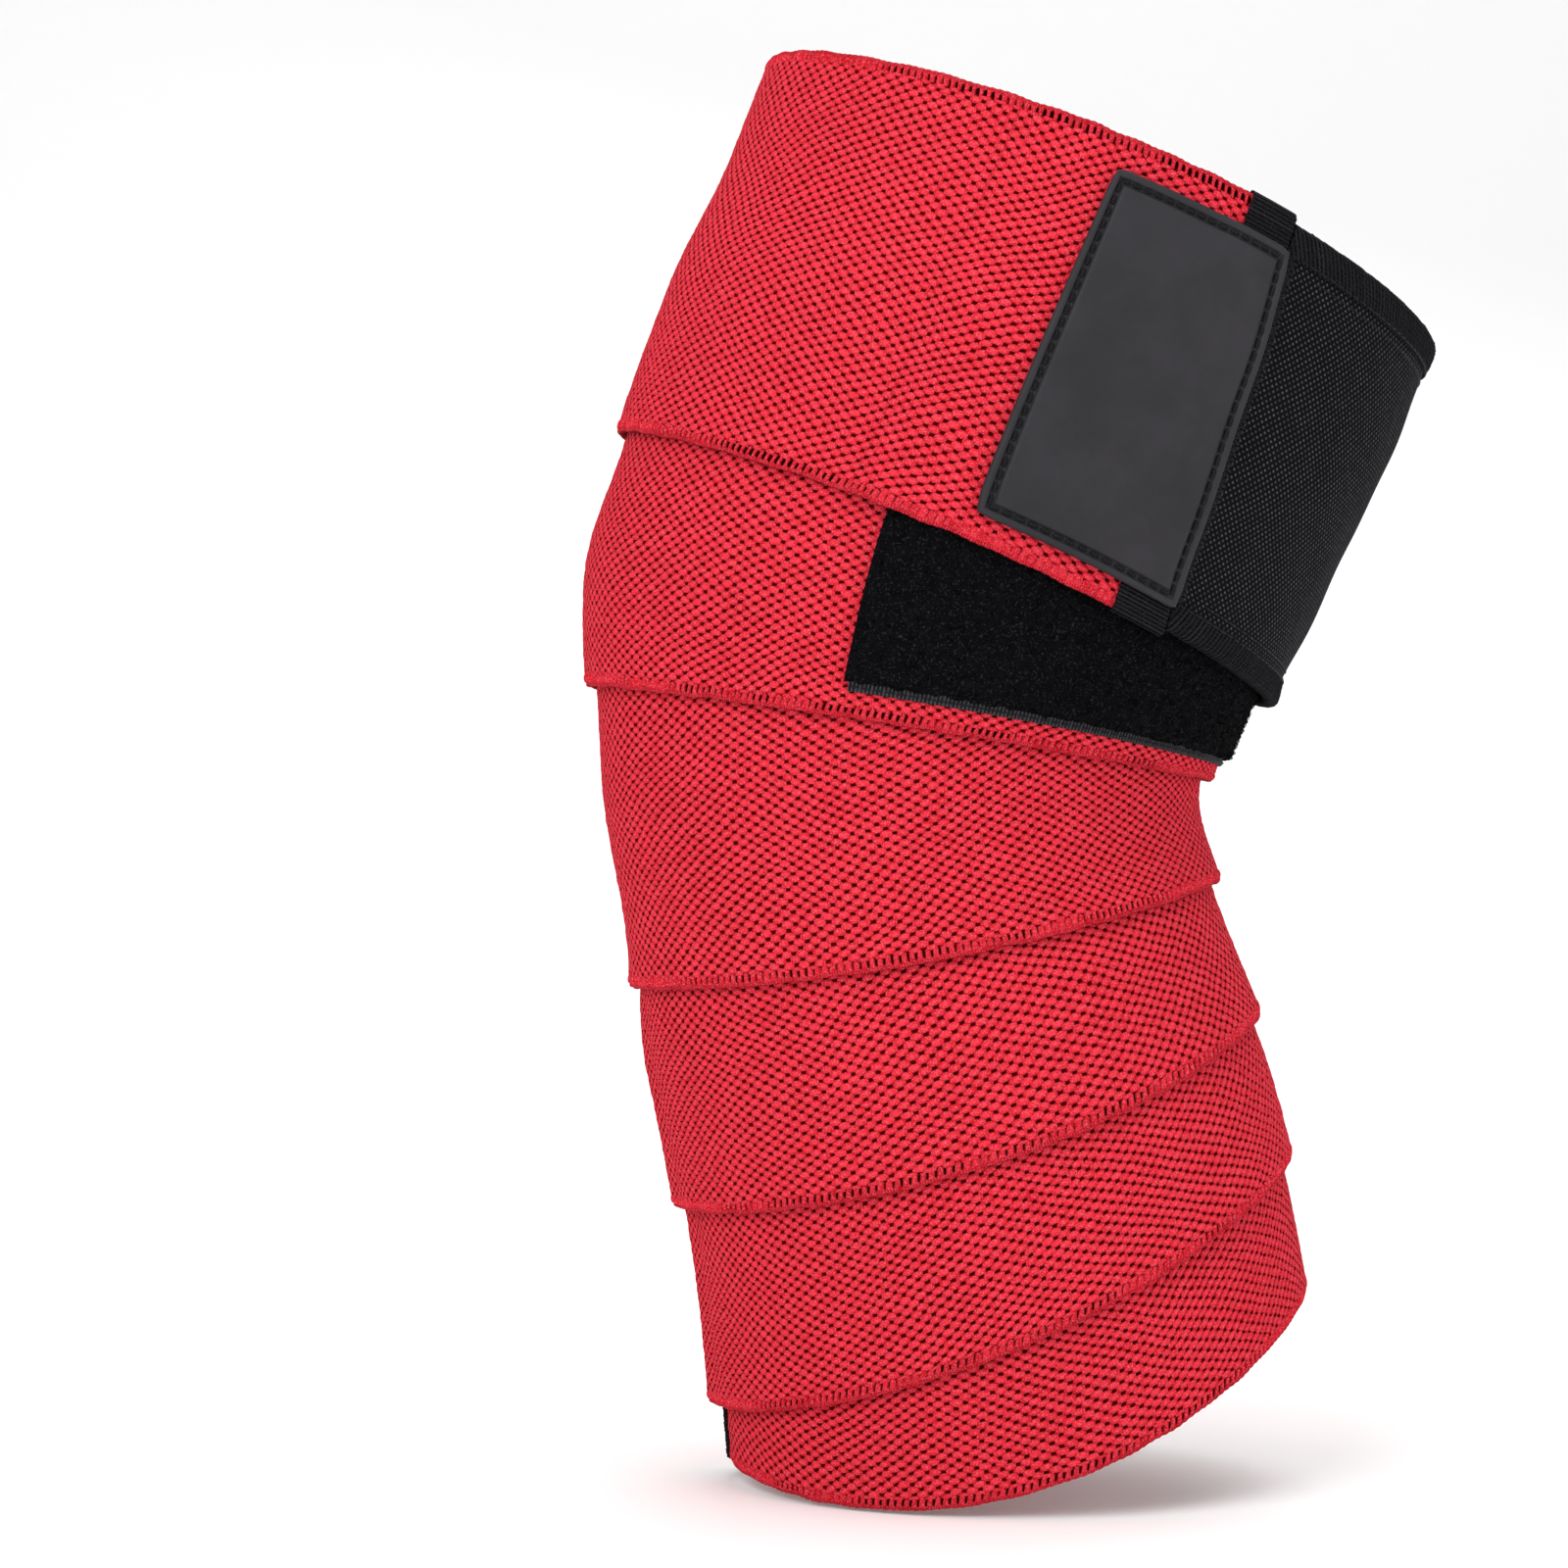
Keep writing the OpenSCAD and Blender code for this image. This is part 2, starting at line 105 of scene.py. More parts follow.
MM_PER_DEGREE = 1.28      # along the closure
HINGE_PLAY = 0.35
TAIL_HINGE = TAIL_START + HINGE_PLAY
PATCH_START = TAIL_HINGE + 11
PATCH_END = PATCH_START + 32
SLEEVE_START = PATCH_END - 9
SLEEVE_LIFT = BINDING_THICK + FIT_GAP
TAIL_END = PATCH_END - 0.4
TAIL_RISE_ANGLE = 5.0
PATCH_LOW = BAND_THICK + FIT_GAP
PATCH_THICK = 1.6
PATCH_MARGIN_LOW = 5.0    # from the band's lower edge to the patch
PATCH_MARGIN_HIGH = 6.0   # and from the patch to the upper edge
TAB_HINGE = PATCH_END + 1.1
TAB_END = TAB_HINGE + 94
TAB_WIDTH = 75.0
TAB_MARGIN = (BAND_WIDTH - TAB_WIDTH) / 2
HOOK_THICK = 1.3
HOOK_INSET = 5.0
TAB_LOW = HOOK_THICK + FIT_GAP
TAB_THICK = 0.8
TAB_HIGH = TAB_LOW + TAB_THICK

MM = 0.001                # the frame's metres in one millimetre


def smooth(t):
    c = np.clip(t, 0, 1)
    return c * c * (3 - 2 * c)


def leg_curve(values, z):
    """A smooth curve through the leg sections, straight beyond the last one."""
    height = LEG_HEIGHT
    slopes = np.gradient(values, height, edge_order=1)
    slopes[1:-1] = (values[2:] - values[:-2]) / (height[2:] - height[:-2])
    i = np.clip(np.searchsorted(height, z, side="right") - 1, 0, len(height) - 2)
    span = height[i + 1] - height[i]
    t = (z - height[i]) / span
    c = np.clip(t, 0, 1)
    start, end = slopes[i] * span, slopes[i + 1] * span
    return ((2 * c**3 - 3 * c**2 + 1) * values[i] + (c**3 - 2 * c**2 + c) * start
            + (3 * c**2 - 2 * c**3) * values[i + 1] + (c**3 - c**2) * end
            + (t - c) * np.where(t > 1, end, start))


def leg_point(w, z):
    """The leg's surface at winding angle w and height z: 0 is the front, 90 the near side, 180 the back."""
    w, z = np.broadcast_arrays(np.asarray(w, float), np.asarray(z, float))
    front, back = leg_curve(LEG_FRONT, z), leg_curve(LEG_BACK, z)
    r = np.radians(w)
    x = (front + back) / 2 - (back - front) / 2 * np.cos(r)
    return np.stack([x, -leg_curve(LEG_HALF_DEPTH, z) * np.sin(r), z], -1)


def unit(v):
    return v / np.linalg.norm(v, axis=-1, keepdims=True)


def leg_out(w, z):
    along = leg_point(w + 0.5, z) - leg_point(w - 0.5, z)
    up = leg_point(w, z + 0.5) - leg_point(w, z - 0.5)
    return unit(np.cross(along, up))


# Height of the band's lower edge at each half turn, from half a turn before its start
HALF_TURNS = [height for pair in zip(TURN_FRONT, TURN_BACK) for height in pair]
KNOTS = np.array([TURN_FRONT[0], *HALF_TURNS, TURN_FRONT[-1]])


def lower_edge(w):
    """Height of the band's lower edge."""
    w = np.asarray(w, float)
    half = np.floor(w / 180).astype(int)
    ease = (1 - np.cos(np.radians(w - half * 180))) / 2
    sag = np.array(TURN_SAG)[np.clip(half // 2, 0, len(TURN_SAG) - 1)] * ((half >= 0) & (half % 2 == 0))
    low = KNOTS[np.clip(half + 1, 0, len(KNOTS) - 1)]
    high = KNOTS[np.clip(half + 2, 0, len(KNOTS) - 1)]
    return low * (1 - ease) + high * ease - sag * np.sin(np.radians(w)) ** 2


def across(w, s):
    """Height of the point s millimetres across the band."""
    low = lower_edge(w)
    full = np.linalg.norm(leg_point(w, low + BAND_WIDTH) - leg_point(w, low), axis=-1)
    return low + s * BAND_WIDTH / full


def turns_under(w, z):
    total = np.zeros(w.shape)
    below = w - TURN
    while (below >= BAND_START - RAMP).any():
        tape = smooth((BAND_START + START_TAPE_ANGLE + RAMP - below) / RAMP)
        rise = (TURN_PITCH + START_TAPE_LIFT * tape) * smooth((below - BAND_START + RAMP) / RAMP)
        rise = rise * smooth((across(below, BAND_WIDTH) + STEP_LENGTH - z) / STEP_LENGTH)
        total += np.where(below >= BAND_START - RAMP, rise, 0)
        below = below - TURN
    return total


def pad_under(w, z):
    below = w - TURN
    over = across(below, BAND_WIDTH - PAD_MARGIN) + PAD_STEP_LENGTH - z
    rise = PAD_LIFT * smooth((below - PAD_START + RAMP) / RAMP) * smooth((PAD_END + RAMP - below) / RAMP)
    return np.where(w < LAST_TURN, 0, rise * smooth(over / PAD_STEP_LENGTH))


def slanted(w, s):
    """The closure lies at a slant across the band, which grows from the tail's hinge line to the tab's."""
    grown = np.clip((w - TAIL_HINGE) / (TAB_HINGE - TAIL_HINGE), 0, 1)
    return w + CLOSURE_SLANT * (0.5 - s / BAND_WIDTH) * grown


def on_band(w, s, h):
    """Points in metres at winding angle w, s across the band and h out from its inner side."""
    w, s, h = np.broadcast_arrays(*(np.asarray(v, float) for v in (w, s, h)))
    w = slanted(w, s)
    z = across(w, s)
    return (leg_point(w, z) + (turns_under(w, z) + pad_under(w, z) + h)[..., None] * leg_out(w, z)) * MM


def band_out(w, s):
    w, s = np.broadcast_arrays(np.asarray(w, float), np.asarray(s, float))
    w = slanted(w, s)
    return leg_out(w, across(w, s))


def tail_rise(w):
    return SLEEVE_LIFT * smooth((w - SLEEVE_START) / TAIL_RISE_ANGLE + 1)


def patch_base(w):
    return PATCH_LOW + 2 * tail_rise(w)


# ---- Lengths along the band, and slow random variation ----
PATH_ANGLES = np.arange(BAND_START, TAB_END + 8, 0.5)
PATH_POINTS = on_band(PATH_ANGLES, BAND_WIDTH / 2, BAND_THICK) / MM
PATH_LENGTHS = np.concatenate([[0], np.cumsum(np.linalg.norm(np.diff(PATH_POINTS, axis=0), axis=1))])


def length_at(w):
    """Millimetres along the middle of the band from its start to winding angle w."""
    return np.interp(w, PATH_ANGLES, PATH_LENGTHS)


def angle_at(u):
    return np.interp(u, PATH_LENGTHS, PATH_ANGLES)


def slow_noise(u, v, size, seed):
    """Smooth noise between about -1 and 1 over lengths u and v, with lumps of the given size."""
    draw = np.random.default_rng(seed)
    waves = 7
    total = 0
    for _ in range(waves):
        heading = draw.uniform(0, math.tau)
        turns = math.tau / size * draw.uniform(0.6, 1.5)
        total = total + np.sin(turns * (u * math.cos(heading) + v * math.sin(heading)) + draw.uniform(0, 7))
    return total / math.sqrt(waves)


# ---- Meshes ----
class Shape:
    """A mesh in the making: points in metres, faces, and a value at each point that the material reads."""

    def __init__(self):
        self.points, self.paint, self.faces, self.count = [], [], [], 0

    def add(self, points, faces, paint=None):
        points = np.asarray(points, float).reshape(-1, 3)
        if paint is None:
            paint = np.zeros(points.shape)
        self.points.append(points)
        self.paint.append(np.asarray(paint, float).reshape(-1, 3))
        self.faces.extend((np.asarray(faces) + self.count).tolist())
        self.count += len(points)

    def face(self, corners):
        self.faces.append([int(c) for c in corners])

    def grid(self, points, paint=None, ring=False, capped=False):
        """Faces over a grid of points. A ring closes on itself along its second direction."""
        rows, cols = points.shape[:2]
        first = self.count
        index = np.arange(rows * cols).reshape(rows, cols)
        if ring:
            index = np.concatenate([index, index[:, :1]], 1)
        quads = np.stack([index[:-1, :-1], index[:-1, 1:], index[1:, 1:], index[1:, :-1]], -1).reshape(-1, 4)
        self.add(points, quads, paint)
        if capped:
            self.face(first + index[0, :cols][::-1])
            self.face(first + index[-1, :cols])

    def build(self, name, material, nodes):
        mesh = bpy.data.meshes.new(name)
        mesh.from_pydata(np.concatenate(self.points), [], self.faces)
        mesh.update()
        attribute = mesh.attributes.new("paint", "FLOAT_VECTOR", "POINT")
        attribute.data.foreach_set("vector", np.concatenate(self.paint).astype(np.float32).ravel())
        mesh.polygons.foreach_set("use_smooth", np.ones(len(mesh.polygons), bool))
        mesh.materials.append(material)
        made = bpy.data.objects.new(name, mesh)
        bpy.context.scene.collection.objects.link(made)
        if nodes:
            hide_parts(*nodes)
        return made


def weld(made):
    """Joins points that lie in one place."""
    mesh = bmesh.new()
    mesh.from_mesh(made.data)
    bmesh.ops.remove_doubles(mesh, verts=mesh.verts, dist=0.02 * MM)
    bmesh.ops.recalc_face_normals(mesh, faces=mesh.faces)
    mesh.to_mesh(made.data)
    mesh.free()


def tubes(shape, centres, radii, normals, sides=6):
    """Round threads. centres is (threads, points, 3) in metres, radii (threads, points) in metres."""
    along = unit(np.gradient(centres, axis=1))
    out = unit(normals - (normals * along).sum(-1, keepdims=True) * along)
    side = np.cross(along, out)
    turns = np.arange(sides) * math.tau / sides
    around = np.cos(turns)[:, None] * out[:, :, None, :] + np.sin(turns)[:, None] * side[:, :, None, :]
    points = centres[:, :, None, :] + radii[:, :, None, None] * around
    threads, length = centres.shape[:2]
    index = np.arange(threads * length * sides).reshape(threads, length, sides)
    wrapped = np.concatenate([index, index[:, :, :1]], 2)
    quads = np.stack([wrapped[:, :-1, :-1], wrapped[:, 1:, :-1], wrapped[:, 1:, 1:], wrapped[:, :-1, 1:]], -1)
    values = np.zeros(points.shape)
    values[..., 0] = np.arange(length)[:, None] / (length - 1)
    values[..., 1] = np.arange(sides) / sides
    values[..., 2] = np.arange(threads)[:, None, None]
    first = shape.count
    shape.add(points, quads.reshape(-1, 4), values)
    for ends in (index[:, 0, ::-1], index[:, -1, :]):
        for ring in ends:
            shape.face(first + ring)


# ---- Materials ----
class Paint:
    """A material's node tree, written as a chain of short calls."""

    def __init__(self, name):
        self.material = bpy.data.materials.new(name)
        self.material.use_nodes = True
        self.tree = self.material.node_tree
        self.tree.nodes.clear()
        self.shader = self.node("BsdfPrincipled")
        self.node("OutputMaterial", Surface=self.shader.outputs["BSDF"])
        self.position = self.node("TexCoord").outputs["Object"]

    def node(self, kind, **inputs):
        """A new node, with values or other nodes' outputs put into its inputs."""
        made = self.tree.nodes.new("ShaderNode" + kind)
        for name, value in inputs.items():
            self.put(made.inputs[name], value)
        return made

    def put(self, socket, value):
        if isinstance(value, bpy.types.NodeSocket):
            self.tree.links.new(value, socket)
        elif isinstance(value, tuple):
            socket.default_value = (*value, 1)      # a colour, opaque
        else:
            socket.default_value = value

    def math(self, operation, first, second=0.0, third=0.0):
        node = self.node("Math")
        node.operation = operation
        for socket, value in zip(node.inputs, (first, second, third)):
            self.put(socket, value)
        return node.outputs[0]

    def paint_values(self):
        """The three values stored at each point of the mesh."""
        source = self.node("Attribute")
        source.attribute_name = "paint"
        return tuple(self.node("SeparateXYZ", Vector=source.outputs["Vector"]).outputs)

    def times(self, first, second):
        return self.math("MULTIPLY", first, second)

    def vector(self, x, y):
        return self.node("CombineXYZ", X=x, Y=y).outputs[0]

    def noise(self, size, detail=2.0, roughness=0.5):
        """Noise from 0 to 1 with lumps about size metres across."""
        return self.node("TexNoise", Vector=self.position, Scale=1 / size, Detail=detail,
                         Roughness=roughness).outputs[0]

    def random(self, vector):
        return self.node("TexWhiteNoise", Vector=vector).outputs["Value"]

    def ease(self, value, low, high, start=0.0, end=1.0):
        node = self.node("MapRange")
        node.interpolation_type = "SMOOTHSTEP"
        for socket, number in zip(node.inputs, (value, low, high, start, end)):
            self.put(socket, number)
        return node.outputs[0]

    def mix(self, share, first, second):
        node = self.node("Mix")
        node.data_type = "RGBA"
        self.put(node.inputs[0], share)
        self.put(node.inputs[6], first)
        self.put(node.inputs[7], second)
        return node.outputs[2]

    def wave(self, turns):
        """A cosine of a value counted in whole periods."""
        return self.math("COSINE", self.times(turns, math.tau))

    def bump(self, height, distance, strength=1.0, under=None):
        node = self.node("Bump", Height=height, Distance=distance, Strength=strength)
        if under is not None:
            self.put(node.inputs["Normal"], under)
        return node.outputs[0]

    def finish(self, **sockets):
        for name, value in sockets.items():
            self.put(self.shader.inputs[name.replace("_", " ")], value)
        return self.material


def red_knit():
    """Elastic knit. The paint is the place in knit periods along and across, and the knit's lean."""
    p = Paint("red_knit")
    along, over, lean = p.paint_values()
    stray = p.math("MULTIPLY_ADD", p.noise(0.0011, 2), 0.16, -0.08)
    rising, falling = p.math("ADD", p.math("ADD", along, stray), over), p.math("SUBTRACT", along, over)
    tone = p.random(p.vector(p.math("ROUND", rising), p.math("ROUND", falling)))

    def offset(place, stretch):
        """0 in the middle of a stitch, 1 half way to the next."""
        distance = p.math("ABSOLUTE", p.math("SUBTRACT", place, p.math("ROUND", place)))
        return p.times(p.times(distance, stretch), 2.0)
    first, second = offset(rising, p.math("ADD", 1.0, lean)), offset(falling, p.math("SUBTRACT", 1.0, lean))
    squares = p.math("ADD", p.times(first, first), p.times(second, second))
    wobble = p.math("MULTIPLY_ADD", p.noise(0.0007, 2), 0.36, -0.18)
    reach = p.math("ADD", p.math("SQRT", squares), wobble)
    hole = p.math("ADD", p.times(first, second), p.times(wobble, 0.7))
    patchy = p.noise(0.012)
    yarn = p.noise(0.00026, 3, roughness=0.65)
    light = p.math("ADD", p.times(tone, 0.6), p.times(patchy, 0.4))
    bright = p.mix(light, (0.46, 0.003, 0.010), (0.66, 0.014, 0.030))
    # painted highlight on the middle of each stitch
    crown_highlight = p.mix(p.ease(reach, 0.7, 0.1, 0, 0.6), bright, (0.76, 0.034, 0.056))
    # painted highlights on the yarn's fibres
    fibre_highlight = p.mix(p.ease(yarn, 0.45, 0.68, 0, 0.6), crown_highlight, (0.86, 0.15, 0.20))
    # painted shade in the creases between stitches
    between = p.mix(p.ease(reach, 0.72, 1.0, 0, 0.45), fibre_highlight, (0.20, 0.001, 0.004))
    # painted shade in the holes between stitches
    colour = p.mix(p.ease(hole, 0.24, 0.46), between, (0.090, 0.0002, 0.0010))
    cushion = p.ease(reach, 1.3, 0.3)
    normal = p.bump(yarn, 0.00014, 0.7, p.bump(cushion, 0.0003, 0.5))
    return p.finish(Base_Color=colour, Roughness=0.85, Normal=normal, Specular_IOR_Level=0.03)


def red_selvedge():
    """The band's rolled edges. The paint is the place in rungs, how deep in a gap, and how far under."""
    p = Paint("red_selvedge")
    along, gap, under = p.paint_values()
    yarn = p.noise(0.0003, 3, roughness=0.65)
    strand = p.wave(p.times(along, 3))
    tone = p.random(p.vector(p.math("ROUND", along), 0.0))
    openness = p.ease(p.noise(0.012, 3), 0.35, 0.6, 0.5, 1.0)
    bright = p.mix(p.times(tone, 0.7), (0.46, 0.004, 0.011), (0.66, 0.016, 0.032))
    # painted highlights on the yarn's fibres
    fibre_highlight = p.mix(p.ease(yarn, 0.45, 0.68, 0, 0.6), bright, (0.86, 0.15, 0.20))
    # painted shade in the grooves between the roll's strands
    roll_shaded = p.mix(p.times(p.ease(strand, -0.1, -0.9, 0, 0.6), under), fibre_highlight, (0.22, 0.002, 0.005))
    # painted shade on the roll under the rungs, darkest at its foot
    roll_shaded = p.mix(p.ease(under, 0.7, 1.8, 0, 0.85), roll_shaded, (0.12, 0.001, 0.003))
    colour = p.mix(p.ease(p.times(gap, openness), 0.2, 0.55), roll_shaded, (0.020, 0.0001, 0.0004))
    normal = p.bump(yarn, 0.00012, 0.6, p.bump(strand, 0.0001, 0.5))
    return p.finish(Base_Color=colour, Roughness=0.85, Normal=normal, Specular_IOR_Level=0.03)


def black_tape():
    """Ribbed binding tape. The paint is the place in ribs along, and millimetres across."""
    p = Paint("black_tape")
    along, over, _ = p.paint_values()
    rib = p.wave(along)
    weave = p.wave(p.times(over, 2.2))
    yarn = p.noise(0.0003, 3, roughness=0.65)
    tone = p.random(p.vector(p.math("ROUND", along), 2.0))
    # painted highlight on the ribs and painted shade between them
    colour = p.mix(p.ease(rib, -0.7, 0.8), (0.0004, 0.0004, 0.0006), (0.017, 0.017, 0.020))
    varied = p.mix(p.times(tone, 0.6), colour, (0.003, 0.003, 0.004))
    # lighter flecks where the yarn noise is high
    flecked = p.mix(p.ease(yarn, 0.48, 0.75, 0, 0.6), varied, (0.036, 0.036, 0.041))
    normal = p.bump(yarn, 0.00014, 0.7, p.bump(weave, 0.00006, 0.4))
    return p.finish(Base_Color=flecked, Roughness=0.85, Normal=normal, Specular_IOR_Level=0.05)


def loop_base():
    """The loop tape's woven ground, with its ribbed selvedges."""
    p = Paint("loop_base")
    along, over, _ = p.paint_values()
    rib = p.wave(along)
    yarn = p.noise(0.0003, 3)
    # painted highlight on the ribs and painted shade between them
    colour = p.mix(p.ease(rib, -0.8, 0.9), (0.0015, 0.0015, 0.002), (0.040, 0.040, 0.045))
    # lighter flecks where the yarn noise is high
    flecked = p.mix(p.ease(yarn, 0.45, 0.8, 0, 0.4), colour, (0.09, 0.09, 0.095))
    return p.finish(Base_Color=flecked, Roughness=0.8, Normal=p.bump(yarn, 0.00008, 0.5), Sheen_Weight=0.03,
                    Specular_IOR_Level=0.12)


def loop_pile():
    """Fuzzy pile. The third paint value differs from curl to curl."""
    p = Paint("loop_pile")
    _, _, curl = p.paint_values()
    clump = p.noise(0.0014, 3)
    fuzz = p.noise(0.0005, 4, roughness=0.75)
    tone = p.random(p.vector(curl, 0.0))
    ground = p.mix(p.ease(clump, 0.35, 0.7), (0.0001, 0.0001, 0.0002), (0.0012, 0.0012, 0.0015))
    strand = p.mix(p.ease(tone, 0.5, 1.0, 0, 0.75), ground, (0.030, 0.029, 0.033))
    colour = p.mix(p.ease(fuzz, 0.55, 0.65, 0, 0.7), strand, (0.034, 0.033, 0.037))
    return p.finish(Base_Color=colour, Roughness=0.95, Normal=p.bump(fuzz, 0.0003, 1.0),
                    Specular_IOR_Level=0.02)


def nylon():
    """Oxford nylon. The paint is the place in weave periods along and across."""
    p = Paint("nylon")
    along, over, _ = p.paint_values()
    rising, falling = p.math("ADD", along, over), p.math("SUBTRACT", along, over)
    knuckle = p.times(p.math("ADD", p.wave(rising), p.wave(falling)), 0.5)
    yarn = p.noise(0.00025, 3)
    cell = p.vector(p.math("ROUND", rising), p.math("ROUND", falling))
    glint = p.times(p.ease(knuckle, 0.3, 0.85), p.ease(p.random(cell), 0.0, 1.0, 0.45, 1.0))
    ground = p.mix(p.noise(0.01), (0.0022, 0.0022, 0.0028), (0.0045, 0.0045, 0.0055))
    colour = p.mix(glint, ground, (0.072, 0.069, 0.082))
    normal = p.bump(yarn, 0.00005, 0.4, p.bump(knuckle, 0.00012, 0.7))
    return p.finish(Base_Color=colour, Roughness=0.8, Normal=normal, Specular_IOR_Level=0.05)


def rubber():
    """Moulded rubber with a fine grain and handling marks. The first paint value marks the seam's groove."""
    p = Paint("rubber")
    grain = p.noise(0.00018, 2, roughness=0.6)
    cloud = p.noise(0.014, 4, roughness=0.6)
    rub = p.noise(0.004, 5, roughness=0.7)
    colour = p.mix(p.ease(cloud, 0.3, 0.7), (0.020, 0.019, 0.022), (0.026, 0.0245, 0.0285))
    speck = p.mix(p.ease(grain, 0.62, 0.8, 0, 0.3), colour, (0.046, 0.044, 0.050))
    groove, _, _ = p.paint_values()
    shaded = p.mix(p.times(groove, 0.35), speck, (0.004, 0.004, 0.005))
    roughness = p.ease(rub, 0.3, 0.75, 0.5, 0.64)
    return p.finish(Base_Color=shaded, Roughness=roughness, Normal=p.bump(grain, 0.00004, 0.5),
                    Specular_IOR_Level=0.16)


def hook_plastic():
    """Moulded hook tape."""
    p = Paint("hook_plastic")
    grain = p.noise(0.0004, 3)
    colour = p.mix(grain, (0.006, 0.006, 0.007), (0.016, 0.016, 0.018))
    return p.finish(Base_Color=colour, Roughness=p.ease(grain, 0.3, 0.7, 0.35, 0.5),
                    Normal=p.bump(grain, 0.00005, 0.4), Specular_IOR_Level=0.3)


def thread_black():
    """Twisted sewing thread. The paint is the place along a stitch and around it."""
    p = Paint("thread_black")
    along, around, stitch = p.paint_values()
    twist = p.wave(p.math("ADD", p.times(along, 3.5), around))
    tone = p.random(p.vector(stitch, 1.0))
    dark = p.mix(p.times(tone, 0.5), (0.002, 0.002, 0.003), (0.008, 0.008, 0.009))
    colour = p.mix(p.ease(twist, 0.2, 1.0, 0, 0.5), dark, (0.022, 0.022, 0.026))
    return p.finish(Base_Color=colour, Roughness=0.6, Normal=p.bump(twist, 0.00008, 0.6), Sheen_Weight=0.02,
                    Specular_IOR_Level=0.15)


# ---- The knitted band ----
KNIT_ALONG, KNIT_ACROSS = 3.3, 2.0  # one period of the knit, in millimetres
KNIT_SAMPLES = 4                    # points per period
# Height of the knit from the middle of a stitch, through the crease between two, to the hole between four
STITCH_REACH = [0.0, 0.7, 1.0, 1.41]
STITCH_HEIGHT = [0.26, 0.22, 0.09, -0.75]
STITCH_SPREAD = (0.22, 0.11)        # how far a stitch spreads over the hole beside it
KNIT_EDGE = 2.0                     # the knit starts this far inside the band's edges
# The sheet's edge, hidden in the rolled edge: (distance from the band's edge, height) from inside to outside
KNIT_LIP = [(0.9, 0.0), (0.5, 0.3), (0.5, 0.55), (1.6, 0.7)]
KNIT_WITHIN = -0.35                 # relief of the inner side, as a share of the outer side's
COVERED_STEP = 6                    # columns in one face where the next turn covers the knit
ROW = KNIT_ALONG / KNIT_SAMPLES
COLUMN = KNIT_ACROSS / KNIT_SAMPLES


def knit_lean(u, s):
    """Where one of the knit's two diagonals shows more than the other."""
    return 0.07 * slow_noise(u, s, 55, seed=3)


def knit_field(u, s):
    """(height, move along, move across) of the knit, all in millimetres."""
    x, y = u / KNIT_ALONG, (s - KNIT_EDGE) / KNIT_ACROSS
    lean = knit_lean(u, s)
    rising, falling = x + y, x - y
    rising = 2 * np.abs(rising - np.round(rising)) * (1 + lean)
    falling = 2 * np.abs(falling - np.round(falling)) * (1 - lean)
    reach = np.hypot(rising, falling)
    height = np.interp(reach, STITCH_REACH, STITCH_HEIGHT) + 0.06 * slow_noise(u, s, 3.5, seed=5)
    x, y = math.tau * x, math.tau * y
    along = STITCH_SPREAD[0] * np.sin(x) * np.cos(y) + 0.10 * slow_noise(u, s, 5, seed=11)
    along = along + 0.45 * slow_noise(u, s, 30, seed=12)
    over = STITCH_SPREAD[1] * np.sin(y) * np.cos(x) + 0.07 * slow_noise(u, s, 5, seed=13)
    over = over + 0.22 * slow_noise(u, s, 25, seed=14)
    fade = smooth((s - KNIT_EDGE + 0.6) / 1.2) * smooth((BAND_WIDTH - KNIT_EDGE + 0.6 - s) / 1.2)
    return height * fade, along * fade, over * fade


def knit_sheet(name, start, end, fine_to, lift=lambda w: 0 * w, inner_step=4):
    """A stretch of the band between two winding angles, with each stitch of the knit up to fine_to across."""
    shape = Shape()
    first, last = round(length_at(start) / ROW), round(length_at(end) / ROW)
    u = np.arange(first, last + 1) * ROW
    columns = round((BAND_WIDTH - 2 * KNIT_EDGE) / COLUMN)
    fine = min(columns, round((fine_to - KNIT_EDGE) / COLUMN))
    outer = np.concatenate([np.arange(fine), np.arange(fine, columns, COVERED_STEP), [columns]])
    outer = KNIT_EDGE + COLUMN * np.unique(outer)
    inner = np.concatenate([np.arange(0, columns, inner_step), [columns]])
    inner = KNIT_EDGE + COLUMN * np.unique(inner)[::-1]
    lip, lip_height = np.transpose(KNIT_LIP)
    s = np.concatenate([lip, outer, BAND_WIDTH - lip[::-1], inner])
    h = np.concatenate([lip_height, np.full(len(outer), BAND_THICK), lip_height[::-1], 0 * inner])
    relief = np.concatenate([0 * lip, np.ones(len(outer)), 0 * lip, np.full(len(inner), KNIT_WITHIN)])
    uu, ss = np.meshgrid(u, s, indexing="ij")
    height, along, over = knit_field(uu, ss)
    w = angle_at(uu + along)
    points = on_band(w, ss + over, h + height * relief + lift(w))
    paint = np.stack([uu / KNIT_ALONG, (ss - KNIT_EDGE) / KNIT_ACROSS, knit_lean(uu, ss)], -1)
    shape.grid(points[:, ::-1], paint[:, ::-1], ring=True, capped=True)
    return shape.build(name, RED_KNIT, [])


RUNG_PITCH = 1.55
# How far the gaps between rungs are pulled open, as a share of the last turn's
OPEN_BELOW = 0.65         # on the lower turns
OPENING = (LAST_TURN - TURN, LAST_TURN - TURN / 2)      # and between which angles that changes
OPEN_UNDER_PATCH = 0.42   # on the tail's lower edge, which the patch keeps from stretching
CLOSING = (TAIL_HINGE - 20, TAIL_HINGE + 4)             # and between which angles that changes
